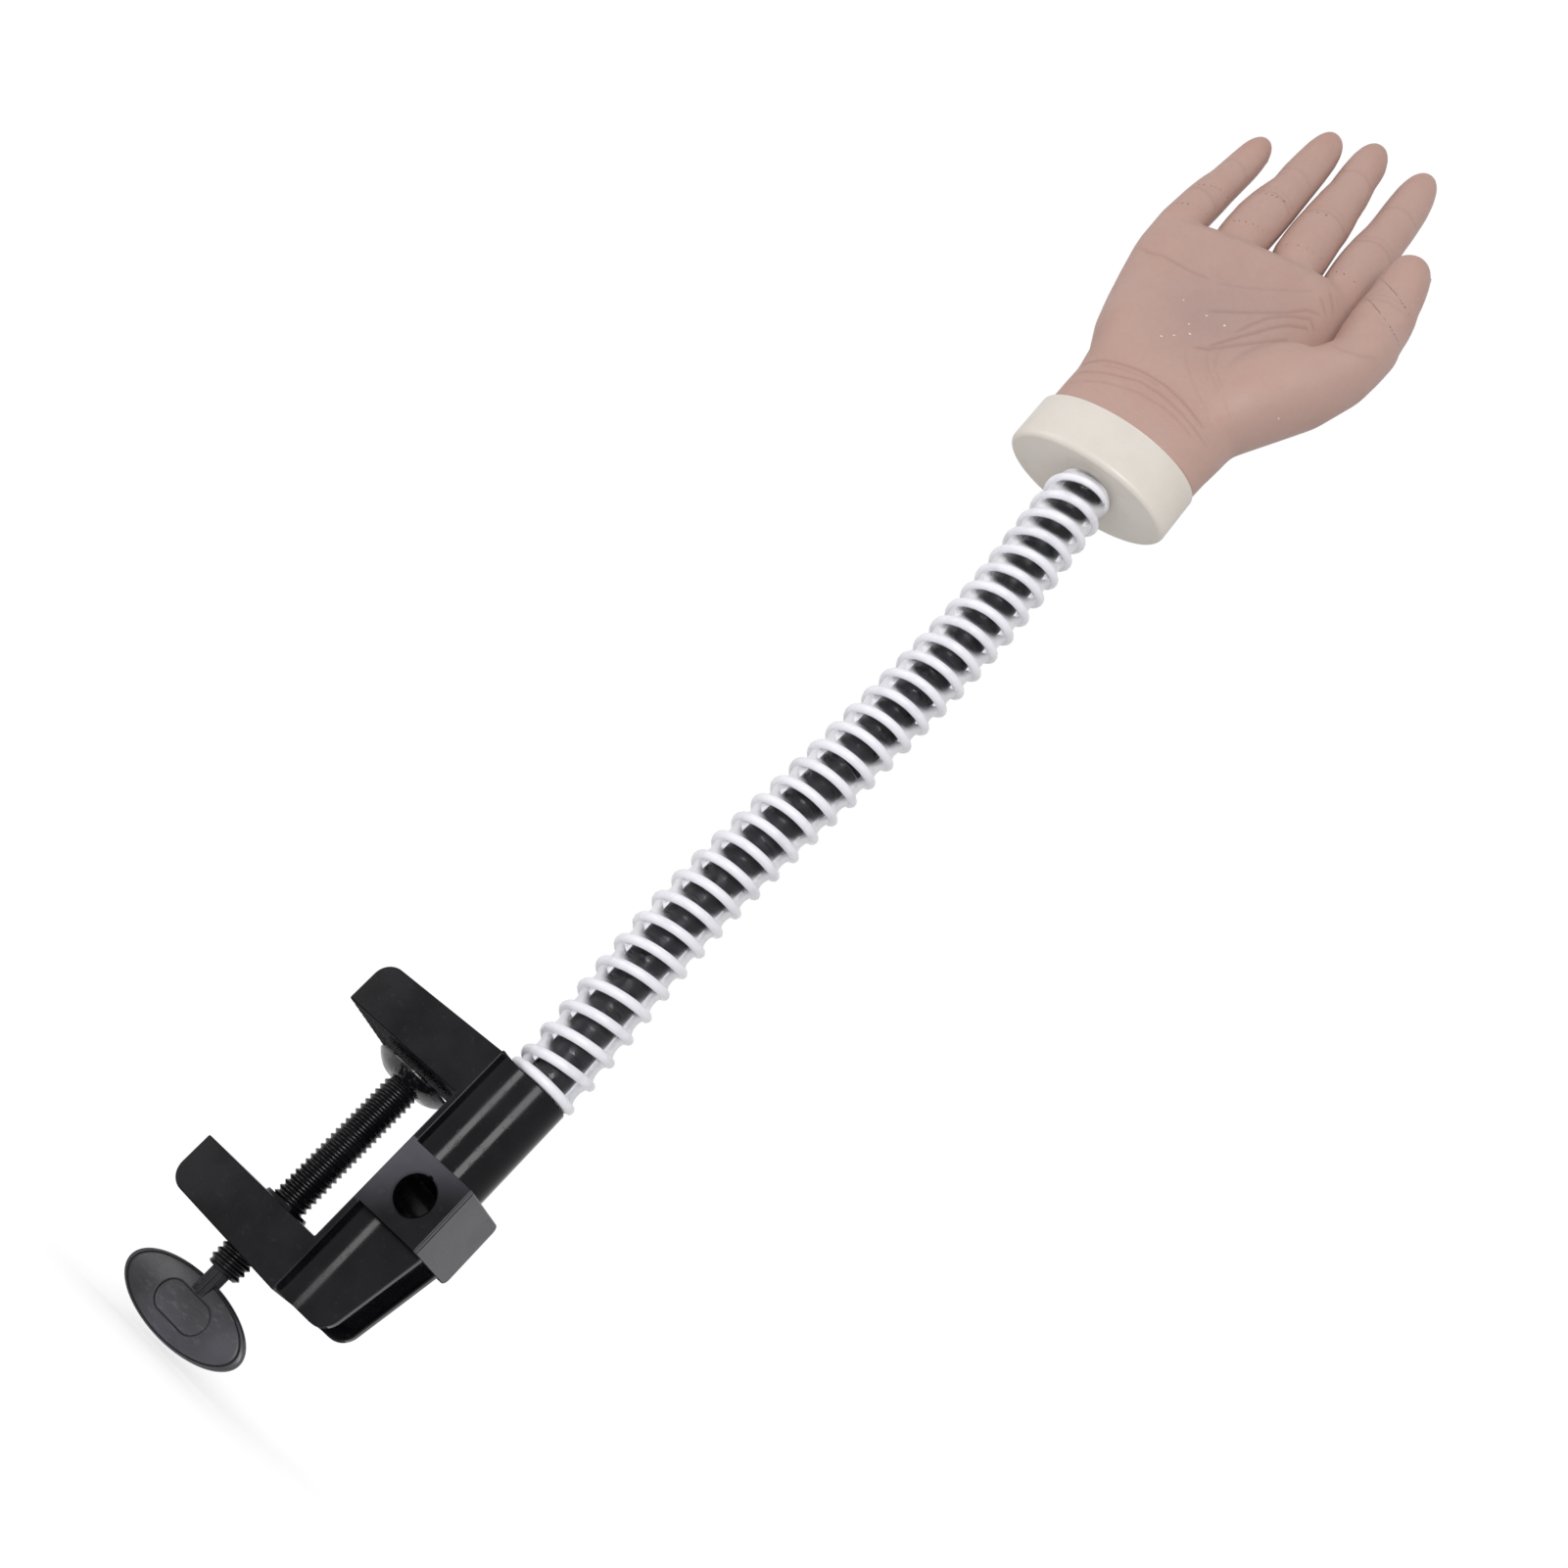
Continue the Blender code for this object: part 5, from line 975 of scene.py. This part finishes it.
class Clay:
    """The skin's points, worked in the hand's own frame and in millimetres."""

    def __init__(self, mesh):
        self.mesh = mesh
        self.count = len(mesh.vertices)
        self.read()

    def read(self):
        flat = np.zeros(self.count * 3)
        self.mesh.vertices.foreach_get("co", flat)
        self.points = flat.reshape(-1, 3) * 1000
        flat = np.zeros(self.count * 3, dtype=np.float32)
        self.mesh.vertex_normals.foreach_get("vector", flat)
        self.normals = flat.reshape(-1, 3).astype(float)

    def write(self):
        self.mesh.vertices.foreach_set("co", (self.points / 1000).ravel())
        self.mesh.update()
        self.read()

    def push(self, amount):
        self.points += self.normals * amount[:, None]

    def blob(self, centre, spread):
        """Soft spot round a centre: 1 in its middle, fading over its spread along each axis."""
        away = (self.points - np.array(centre)) / np.array(spread)
        return np.exp(-(away ** 2).sum(axis=1))

    def near_line(self, line, width):
        """Nearness to a line laid on the skin: 1 on it, fading over its width and towards its ends."""
        line = np.array(line, dtype=float)
        best = np.full(self.count, 1e9)
        run = np.zeros(self.count)
        low, high = line.min(axis=0) - 4 * width, line.max(axis=0) + 4 * width
        near = np.where(((self.points > low) & (self.points < high)).all(axis=1))[0]
        points = self.points[near]
        close, share = np.full(len(near), 1e9), np.zeros(len(near))
        for k in range(len(line) - 1):
            step = line[k + 1] - line[k]
            t = np.clip(((points - line[k]) @ step) / (step @ step), 0, 1)
            gap = np.linalg.norm(points - line[k] - t[:, None] * step, axis=1)
            nearer = gap < close
            close[nearer] = gap[nearer]
            share[nearer] = ((k + t) / (len(line) - 1))[nearer]
        best[near] = close
        run[near] = share
        return np.exp(-(best / width) ** 2) * np.clip(4 * np.sin(math.pi * run), 0.0, 1.0)


clay = Clay(skin.data)

# How far each finger's sides are drawn out or in, in millimetres: share of its length, left side, right side
FINGER_SIDES = {
    "index": ((0.02, 0.3, 0), (0.1, 0.6, 0), (0.2, 0.6, 0), (0.3, 0.4, 0), (0.42, 0, 0.1), (0.58, -0.3, 0.5),
              (0.75, -0.3, 0.5), (0.86, -0.4, 0), (0.97, -0.6, -0.6)),
    "middle": ((0.02, 0.6, 0.3), (0.1, 1.2, 0.7), (0.2, 1.0, 0.7), (0.3, 0.7, 0.7), (0.38, 0.4, 0.9),
               (0.48, 0.5, 0.7), (0.53, 0.4, 0.4), (0.62, -0.5, 0.4), (0.75, -0.5, -0.4), (0.86, -0.6, 0),
               (0.97, -0.7, -0.5)),
    "ring": ((0.02, 0.3, 0.4), (0.11, 0.5, 0.8), (0.23, 0.5, 0.9), (0.34, 0, 0.9), (0.42, -0.6, 0.9),
             (0.51, -1.1, 0.9), (0.63, -0.7, 0.8), (0.86, -1.0, 0.6), (0.97, -1.0, 0.4)),
    "little": ((0.02, 0, 0), (0.2, -0.3, -0.4), (0.48, -0.5, -0.5), (0.77, -0.8, -0.2), (0.97, -1.0, -0.3)),
    "thumb": ((0.1, 0, 0), (0.3, 0, 0.5), (0.6, 0, 0.6), (0.9, 0, 0)),
}


def along_finger(points, finger):
    """Points in a finger's frame, their share of its length, and how far out they lie, in its half widths."""
    place, length, root, tip, curl = finger_places[finger]
    local = np.array(place.inverted())
    here = points @ local[:3, :3].T + local[:3, 3]
    share = here[:, 2] / length
    inside = np.clip(share, -0.5, 1.05)
    away = np.hypot(here[:, 0], here[:, 1] + curl * np.clip(inside, 0, None) ** 2) + np.abs(share - inside) * length
    return here, share, away / (root + (tip - root) * np.clip(share, 0, 1))


nearest = np.min([along_finger(clay.points / 1000, finger)[2] for finger in finger_places], axis=0)
shift = np.zeros((clay.count, 3))
for finger, rows in FINGER_SIDES.items():
    here, share, away = along_finger(clay.points / 1000, finger)
    across = np.array(finger_places[finger][0].to_3x3())[:, 0]
    facing = clay.normals @ across
    table = np.array(rows)
    left, right = (np.interp(share, table[:, 0], table[:, k], left=0) for k in (1, 2))
    near = (away <= nearest) & (away < 1.4)
    reach = np.clip(share / 0.05, 0, 1) * near * np.abs(facing)
    shift += ((right * (facing > 0) - left * (facing < 0)) * reach)[:, None] * across
clay.points += shift
clay.write()
front = np.clip((-clay.normals[:, 1] - 0.05) / 0.5, 0, 1)
rear = np.clip((clay.normals[:, 1] - 0.05) / 0.5, 0, 1)

# Fleshy pads and hollows of the palm side: centre, spread and height, all in millimetres
PALM_PADS = (
    ((-3, -14, 78), (13, 9, 17), -1.5), ((24, -18, 70), (12, 12, 15), 0.7), ((-26, -11, 68), (8, 9, 20), 0.9),
    ((-31, -8, 103), (6, 8, 6), 0.5), ((-13, -10, 110), (6, 8, 6), 0.5), ((5, -9, 115), (6, 8, 6), 0.5),
    ((23, -9, 119), (6, 8, 7), 0.5), ((-22, -9, 107), (3, 8, 7), -0.3), ((-4, -9, 112), (3, 8, 7), -0.3),
    ((14, -9, 117), (3, 8, 7), -0.3), ((2, -15, 45), (14, 8, 5), -0.3),
)
shift = np.zeros(clay.count)
for centre, spread, height in PALM_PADS:
    shift += clay.blob(centre, spread) * height * front
# Knuckles and sinews of the back
for finger, (place, length, root, tip, curl) in finger_places.items():
    if finger == "thumb":
        continue
    knuckle = place @ Vector((0, root * 0.9, -0.010)) * 1000
    shift += clay.blob(knuckle, (7, 8, 7)) * 1.1 * rear
    wrist = Vector((knuckle.x * 0.25, 15, 55))
    shift += clay.near_line([knuckle, (knuckle + wrist) / 2, wrist], 2.2) * 0.45 * rear
for low, high in (("index", "middle"), ("middle", "ring"), ("ring", "little")):
    valley = (finger_places[low][0].translation + finger_places[high][0].translation) * 500
    shift += clay.blob((valley.x, 11, valley.z - 10), (3.0, 8, 8)) * -0.5 * rear
clay.push(shift)
clay.write()


def finger_spot(finger, across, depth, share):
    """Place on a finger in the hand's frame: across and depth as shares of its half width."""
    place, length, root, tip, curl = finger_places[finger]
    half = finger_width(root, tip, share)
    return place @ Vector((across * half, depth * half * 0.93 - curl * max(share, 0) ** 2, share * length)) * 1000


MIDDLE_SHARES = {"index": 0.33, "middle": 0.34, "ring": 0.34, "little": 0.26, "thumb": 0.30}
END_SHARES = {"index": 0.62, "middle": 0.68, "ring": 0.57, "little": 0.62, "thumb": 0.30}
shift = np.zeros(clay.count)
for finger, (place, length, root, tip, curl) in finger_places.items():
    middle, end = MIDDLE_SHARES[finger], END_SHARES[finger]
    for share, spread, height in ((0.10, 5.0, 0.35), ((middle + end) / 2, 4.5, 0.40), (0.82, 5.5, 0.65)):
        shift += clay.blob(finger_spot(finger, 0, -1, share), (5, 6, spread)) * height * front
    for share, spread, height in ((0.44, 5.5, 0.55), (0.70, 4.0, 0.25), (0.90, 5.0, -0.35)):
        shift += clay.blob(finger_spot(finger, 0, 1, share), (5, 6, spread)) * height * rear
clay.push(shift)
clay.write()

# Creases: lines on the skin in millimetres, with their depth and width
CREASES = (
    (((-40.3, -2.8, 96.0), (-34.5, -7.6, 92.6), (-29.8, -9.5, 93.0), (-23, -11.2, 92), (-18.2, -12, 92),
      (-11, -12.5, 93.5)), 0.30, 1.1),
    (((-9, -12.5, 94), (-4.8, -12.5, 96.2), (0.8, -12.3, 99.6), (6.8, -11.7, 104.6), (15.1, -10.6, 112.5),
      (20, -9.6, 117.9)), 0.16, 0.9),
    (((-5.6, -14.2, 79.9), (0.2, -13.8, 84.9), (6.2, -13.2, 89.7), (12, -12.3, 95.2), (16.8, -11.4, 100.5),
      (21.8, -10, 107.9), (26.9, -8.6, 110.9)), 0.34, 1.0),
    (((7, -14.5, 77.2), (10.3, -13.3, 86.8), (13.2, -12.4, 93.1), (17.5, -11.4, 99.1), (24.5, -9.6, 105.6),
      (30, -12, 103)), 0.34, 0.9),
    (((2.9, -15.5, 65), (5.8, -15, 70.5), (9.3, -14.3, 77.5), (12.5, -13.5, 82.9), (15.5, -12.6, 89),
      (19.5, -11.4, 95.7), (25.7, -9.6, 101.4), (31, -16, 96)), 0.40, 1.0),
    (((-1.2, -15.8, 61.5), (4.1, -15.5, 64.9), (11.1, -14.4, 74.3), (16.2, -13.2, 81), (22.7, -12, 90.4),
      (30, -19.9, 89.8), (35.5, -24.3, 88.7)), 0.36, 1.1),
    (((22, -9.3, 116.8), (27.1, -8.4, 112.9), (31, -13, 104)), 0.30, 0.9),
    (((23.1, -8.7, 122), (28.8, -7.7, 116), (31.5, -12, 107)), 0.25, 0.9),
    (((36, -24.6, 88), (37.5, -25, 87.3), (41.2, -25.1, 86.9), (46.2, -24.5, 89.1), (51.6, -22, 94.5)), 0.22, 1.0),
    (((3.9, -15.6, 63.3), (8.5, -15.6, 57.5), (14.3, -15.9, 52.7), (20.6, -16.5, 48.2), (25.5, -13.7, 45.5)),
     0.16, 0.7),
    (((6.8, -15.1, 68.8), (8.9, -15.5, 61.4), (14.1, -15.8, 55), (20.7, -16.9, 49.4)), 0.14, 0.7),
    (((-2.2, -15.8, 59.2), (2.3, -16, 53.2), (7.7, -15.9, 48.4), (15.9, -15.2, 43.6), (19.8, -13.7, 40.4)),
     0.14, 0.7),
    (((-27.5, -5.0, 36.5), (-25.1, -8.2, 37.6), (-21.7, -11.3, 39.2), (-16.4, -13.6, 40.1), (-8, -15.4, 41.3),
      (1.3, -15.8, 41.5), (9.5, -15.5, 40), (15, -14.7, 38.5), (20.6, -13, 37.2)), 0.42, 0.9),
    (((-27.5, -4.5, 31), (-24.5, -8.9, 32.5), (-20.1, -12, 33.5), (-13.4, -14.3, 35.1), (-6.7, -15.4, 37.2),
      (1.5, -15.7, 37.4), (10.9, -15.1, 36), (18.4, -13.6, 34.6), (24, -10, 33.5)), 0.34, 0.8),
    (((-26.7, -6.3, 26.2), (-20.6, -11.7, 28.8), (-13.2, -14.2, 31), (-4.2, -15.4, 33.1), (5.1, -15.5, 33.6),
      (14.4, -14.5, 32.6), (19.4, -13.1, 31.2)), 0.24, 0.8),
    (((-25.3, -8, 38), (-19.8, -12.2, 37.2), (-13.6, -14.4, 38.4), (-5.5, -15.6, 39.6), (0.2, -15.9, 39.8)),
     0.20, 0.7),
)
crease = np.zeros(clay.count)


def press(line, depth, width):
    """Lay a line on the skin and press it in, with a soft swell on both sides."""
    global crease
    laid = [surface.find_nearest(Vector(point))[0] for point in line]
    near = clay.near_line(laid, width)
    wide = clay.near_line(laid, width * 2.6)
    clay.push(wide * depth * 0.30 - near * depth * 1.25)
    # The crease mask also darkens the skin's colour: painted shade in the creases.
    crease = np.maximum(crease, near * min(1.0, depth / 0.35))


def press_round(finger, start, end, share_at, depth, width):
    """Press a crease part of the way round a finger, from one turn to another in degrees."""
    turns = [math.radians(start + (end - start) * k / 6) for k in range(7)]
    press([finger_spot(finger, math.cos(t) * 1.05, math.sin(t) * 1.05, share_at(t)) for t in turns], depth, width)


surface = BVHTree.FromPolygons(clay.points.tolist(), [list(face.vertices) for face in skin.data.polygons])
for line, depth, width in CREASES:
    press(line, depth * 0.62, width * 0.72)
for finger in finger_places:
    bends = [(MIDDLE_SHARES[finger], 0.13), (MIDDLE_SHARES[finger] + 0.035, 0.06), (END_SHARES[finger], 0.11)]
    if finger == "thumb":
        bends = [(0.30, 0.10), (0.36, 0.06)]
    for share, depth in bends:
        press_round(finger, -150, -30, lambda t: share + 0.012 * math.sin(3 * t), depth, 0.75)
    for share, bow in ((0.41, 0.02), (0.44, 0.0), (0.47, -0.02), (0.715, 0.0)):
        press_round(finger, 40, 140, lambda t: share + bow * abs(math.cos(t)), 0.14, 0.6)
clay.write()

# Nail beds: the skin dips a little under each nail and stands up round its root and sides.
NAIL_START, NAIL_END = 0.795, 0.965
NAIL_HALF_ARC = math.radians(46)
NAIL_THICKNESS = 0.0005
shift = np.zeros(clay.count)
for finger, (place, length, root, tip, curl) in finger_places.items():
    here, share, _ = along_finger(clay.points / 1000, finger)
    bow = -curl * np.clip(share, 0, None) ** 2
    turn = np.arctan2(here[:, 0], here[:, 1] - bow)
    on_finger = (np.hypot(here[:, 0], here[:, 1] - bow) < root * 1.2) & (share > 0.6)
    across = np.abs(turn) / NAIL_HALF_ARC
    back_of_nail = (share - NAIL_START) / 0.035
    inside = np.clip(1.15 - across, 0, 0.3) / 0.3 * np.clip(back_of_nail + 0.3, 0, 1)
    wall = np.exp(-((across - 1.12) / 0.16) ** 2) * np.clip(back_of_nail + 0.5, 0, 1) * (share < 0.95)
    wall = np.maximum(wall, np.exp(-((back_of_nail + 0.5) / 0.5) ** 2) * (across < 1.1))
    shift += np.where(on_finger, 0.30 * wall - 0.25 * inside, 0)
clay.push(shift)
clay.write()

# Colour of the casting, kept on its points: redder finger ends and folds, and painted shade that greys the palm hollow.
flush = np.zeros(clay.count)
for finger, (place, length, root, tip, curl) in finger_places.items():
    flush += clay.blob(finger_spot(finger, 0, 0, 0.93), (8, 9, 10)) * 0.9
    flush += clay.blob(finger_spot(finger, 0, 1, 0.44), (7, 6, 6)) * 0.45
    flush += clay.blob(finger_spot(finger, 0, 0, 0.02), (8, 9, 5)) * 0.35
flush += clay.blob((33, -18, 98), (6, 9, 14)) * 0.5 + clay.blob((8, -14, 36), (26, 10, 7)) * 0.45
# Painted shade: the palm's dips are greyed.
palm_hollow_shade = clay.blob((-3, -14, 80), (17, 9, 22)) * 0.9 + clay.blob((14, -12, 100), (12, 9, 12)) * 0.4
DUST = ((-13.4, -13.9, 78.3), (-4, -14.4, 78.6), (2.9, -14.4, 79), (-6.6, -15, 70.3), (-8, -15.5, 61.7),
        (-4.1, -15.4, 66.6), (36.9, -14, 57.7), (-11, -15.3, 58.4))
specks = np.zeros(clay.count)
for k, speck in enumerate(DUST):
    laid = surface.find_nearest(Vector(speck))[0]
    specks += clay.blob(laid, [0.38 + 0.06 * (k % 3)] * 3)
for name, amount in (("crease", crease), ("flush", np.clip(flush, 0, 1)), ("palm_hollow_shade", np.clip(palm_hollow_shade, 0, 1)),
                     ("dust", specks)):
    layer = skin.data.attributes.new(name, "FLOAT", "POINT")
    layer.data.foreach_set("value", amount.astype(np.float32))
whole = skin.data.attributes.new("whole_normal", "FLOAT_VECTOR", "POINT")
world_turn = np.array(hand_place.to_3x3())
whole.data.foreach_set("vector", (clay.normals @ world_turn.T).astype(np.float32).ravel())

silicone, shader, place = new_finish("skin silicone", (0.48, 0.31, 0.26), Subsurface_Weight=0.16,
                                     Subsurface_Radius=(0.0035, 0.0016, 0.0010), Specular_IOR_Level=0.38)


def layer_of(name):
    return place.add("ShaderNodeAttribute", {}, "Fac", attribute_name=name)


blush = place.mottle(48.0, 4.0, 0.6)
fine = place.mottle(420.0, 3.0, 0.6)
pores = place.cells(1500.0)
lines = place.stretched(1, 1, 0.35).mottle(700.0, 3.0)
wrist = place.axes()[2].ease(0.312, 0.352, 1.0, 0.0)
wrinkles = place.stretched(0.22, 0.22, 1.5).mottle(330.0, 4.0, 0.6)
tone = (layer_of("flush") * 0.7 + blush.ease(0.35, 0.72, -0.10, 0.25)).tint((0.475, 0.312, 0.268, 1),
                                                                            (0.460, 0.262, 0.208, 1))
# Painted shade in the palm hollow.
tone = (layer_of("palm_hollow_shade") * 0.8 + fine.ease(0.4, 0.7, -0.05, 0.12)).tint(tone, (0.385, 0.268, 0.245, 1))
# Painted shade: the creases are darkened.
tone = (layer_of("crease") * 0.50).tint(tone, (0.250, 0.140, 0.115, 1))
tone = layer_of("dust").ease(0.30, 0.62, 0.0, 0.9).tint(tone, (0.80, 0.78, 0.74, 1))
feed(shader, Base_Color=tone, Roughness=blush.ease(0.3, 0.7, 0.46, 0.62) + layer_of("crease") * 0.1,
     Normal=relief(fine * 0.5 + pores * 0.4 + lines * 0.6 + wrinkles * (wrist * 2.2 + 0.4), 0.00010))

# Parting the skin. The palm's piece ends just above the webs. Each finger is parted into its first length and its
# end, and every cut lies where both sides move alike. A row gives the tilt of the finger's cuts in degrees, how far
# along it both cuts lie, and how long its end's bend is.
PARTINGS = {"index": (-14, 0.0030, 0.0235, 0.0155), "middle": (8, 0.0050, 0.0235, 0.0155),
            "ring": (18, 0.0055, 0.0220, 0.0155), "little": (24, 0.0055, 0.0170, 0.0140),
            "thumb": (-40, 0.0090, 0.0175, 0.0090)}
BEND_MARGIN = 0.0008
middles = np.zeros(len(skin.data.polygons) * 3)
skin.data.polygons.foreach_get("center", middles)
middles = middles.reshape(-1, 3)
owner = np.zeros(len(middles), dtype=int)
nearest = np.full(len(middles), 1e9)
bend_ways = {}
for number, (finger, (place, length, root, tip, curl)) in enumerate(finger_places.items()):
    tilt, first, second, _ = PARTINGS[finger]
    away = along_finger(middles, finger)[2]
    axis = place.to_3x3() @ Vector((0, 0, 1))
    side = Vector((0.7071, -0.7071, 0)) if finger == "thumb" else place.to_3x3() @ Vector((1, 0, 0))
    side = (side - axis * side.dot(axis)).normalized()
    way = axis * math.cos(math.radians(tilt)) - side * math.sin(math.radians(tilt))
    bend_ways[finger] = way
    along = (middles - np.array(place.translation)) @ np.array(way)
    nearer = away < nearest
    nearest[nearer] = away[nearer]
    owner[nearer] = 0
    owner[nearer & (along > first)] = 2 * number + 1
    owner[nearer & (along > second)] = 2 * number + 2


def part_of_skin(name, number):
    """One piece of the skin, capped at its cuts, with the whole skin's own smooth shading across them."""
    work = bmesh.new()
    work.from_mesh(skin.data)
    work.faces.ensure_lookup_table()
    bmesh.ops.delete(work, geom=[f for f, owned in zip(work.faces, owner) if owned != number], context="FACES")
    cut = [e for e in work.edges if e.is_boundary]
    caps = bmesh.ops.holes_fill(work, edges=cut, sides=0)["faces"]
    bmesh.ops.triangulate(work, faces=caps)
    bmesh.ops.transform(work, matrix=hand_place, verts=work.verts)
    made = settle(name, work)
    made.data.materials.append(silicone)
    made.data.shade_smooth()
    flat = np.zeros(len(made.data.vertices) * 3, dtype=np.float32)
    made.data.attributes["whole_normal"].data.foreach_get("vector", flat)
    made.data.attributes.remove(made.data.attributes["whole_normal"])
    made.data.normals_split_custom_set_from_vertices(flat.reshape(-1, 3).tolist())
    return made


palm_skin = part_of_skin("palm_casting", 0)
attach(palm_skin, "palm")
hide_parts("palm_skin")
for number, (finger, (place, length, root, tip, curl)) in enumerate(finger_places.items()):
    tilt, first, second, end_bend = PARTINGS[finger]
    way = bend_ways[finger]
    knuckle = place.translation
    base = part_of_skin(f"{finger}_base_casting", 2 * number + 1)
    hand_place @ (knuckle + way * (first + BEND_MARGIN))
    hand_place @ (knuckle + way * (second - BEND_MARGIN))
    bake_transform(base)
    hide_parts(f"{finger}_proximal_skin")
    end = part_of_skin(f"{finger}_end_casting", 2 * number + 2)
    hand_place @ (knuckle + way * (second + BEND_MARGIN))
    hand_place @ (knuckle + way * (second + BEND_MARGIN + end_bend))
    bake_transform(end)
    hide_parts(f"{finger}_distal_skin")
bpy.data.objects.remove(skin, do_unlink=True)

# Finger bones. Plain off-white bars inside the fingers, pinned at their joints. They are drawn slimmer than the
# working model's, so that the bending skin doesn't touch their corners.
BONE_SLIMMING = Matrix.Diagonal((0.75, 0.50, 1, 1))
for finger, (place, length, root, tip, curl) in finger_places.items():
    stand = hand_place @ place
    for bone, body in (("proximal_bone", "root"), ("distal_bone", "tip")):
        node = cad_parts[f"{finger}_{bone}"]
        work = bmesh.new()
        work.from_mesh(node.data)
        bmesh.ops.remove_doubles(work, verts=work.verts, dist=1e-6)
        bmesh.ops.transform(work, matrix=stand @ BONE_SLIMMING @ stand.inverted() @ node.matrix_world,
                            verts=work.verts)
        bar = settle(f"{finger}_{body}_bar", work)
        bar.data.materials.append(armature_white)
        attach(bar, f"{finger}_{body}")
        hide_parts(f"{finger}_{bone}")

# Nails. Thin satin practice nails, rounded at the root and at the free edge, curved like the fingertip and set
# in the dips on its back.
nail_gloss, shader, place = new_finish("satin nail", (0.60, 0.44, 0.39), Subsurface_Weight=0.10,
                                       Subsurface_Radius=(0.002, 0.001, 0.001))
grown = place.stretched(1, 1, 0.1).mottle(900.0, 2.0)
feed(shader, Base_Color=place.mottle(150.0).ease(0.3, 0.7).tint((0.62, 0.47, 0.42, 1), (0.55, 0.38, 0.33, 1)),
     Roughness=place.mottle(240.0).ease(0.3, 0.7, 0.20, 0.34), Normal=relief(grown, 0.00003))
for finger, (place, length, root, tip, curl) in finger_places.items():
    work = bmesh.new()
    bmesh.ops.create_grid(work, x_segments=20, y_segments=18, size=1.0)
    for v in work.verts:
        across, on = v.co.x, v.co.y
        half_on = (NAIL_END - NAIL_START) / 2
        rounding = 1 - 0.16 * across ** 2 if on > 0 else 1 - 0.30 * across ** 2
        share = (NAIL_START + NAIL_END) / 2 + on * half_on * rounding
        narrow = 1 - 0.10 * max(0.0, -on) ** 3 - 0.06 * max(0.0, on) ** 2
        turn = across * NAIL_HALF_ARC * narrow
        half = (root + (tip - root) * share) * 0.905
        lift = 0.00005 + 0.00022 * max(0.0, on) ** 2
        radius = half * 0.955 + lift
        v.co = place @ Vector((radius * math.sin(turn) * 1.03, radius * math.cos(turn) - curl * share ** 2
                               - 0.0009 * max(0.0, (share - 0.86) / 0.10) ** 2, share * length))
    bmesh.ops.recalc_face_normals(work, faces=work.faces)
    bmesh.ops.solidify(work, geom=work.faces[:], thickness=NAIL_THICKNESS)
    bmesh.ops.recalc_face_normals(work, faces=work.faces)
    bmesh.ops.transform(work, matrix=hand_place, verts=work.verts)
    nail = settle(f"{finger}_nail_plate", work)
    polish(nail, 50)
    nail.data.materials.append(nail_gloss)
    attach(nail, f"{finger}_tip")
    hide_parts(f"{finger}_nail")
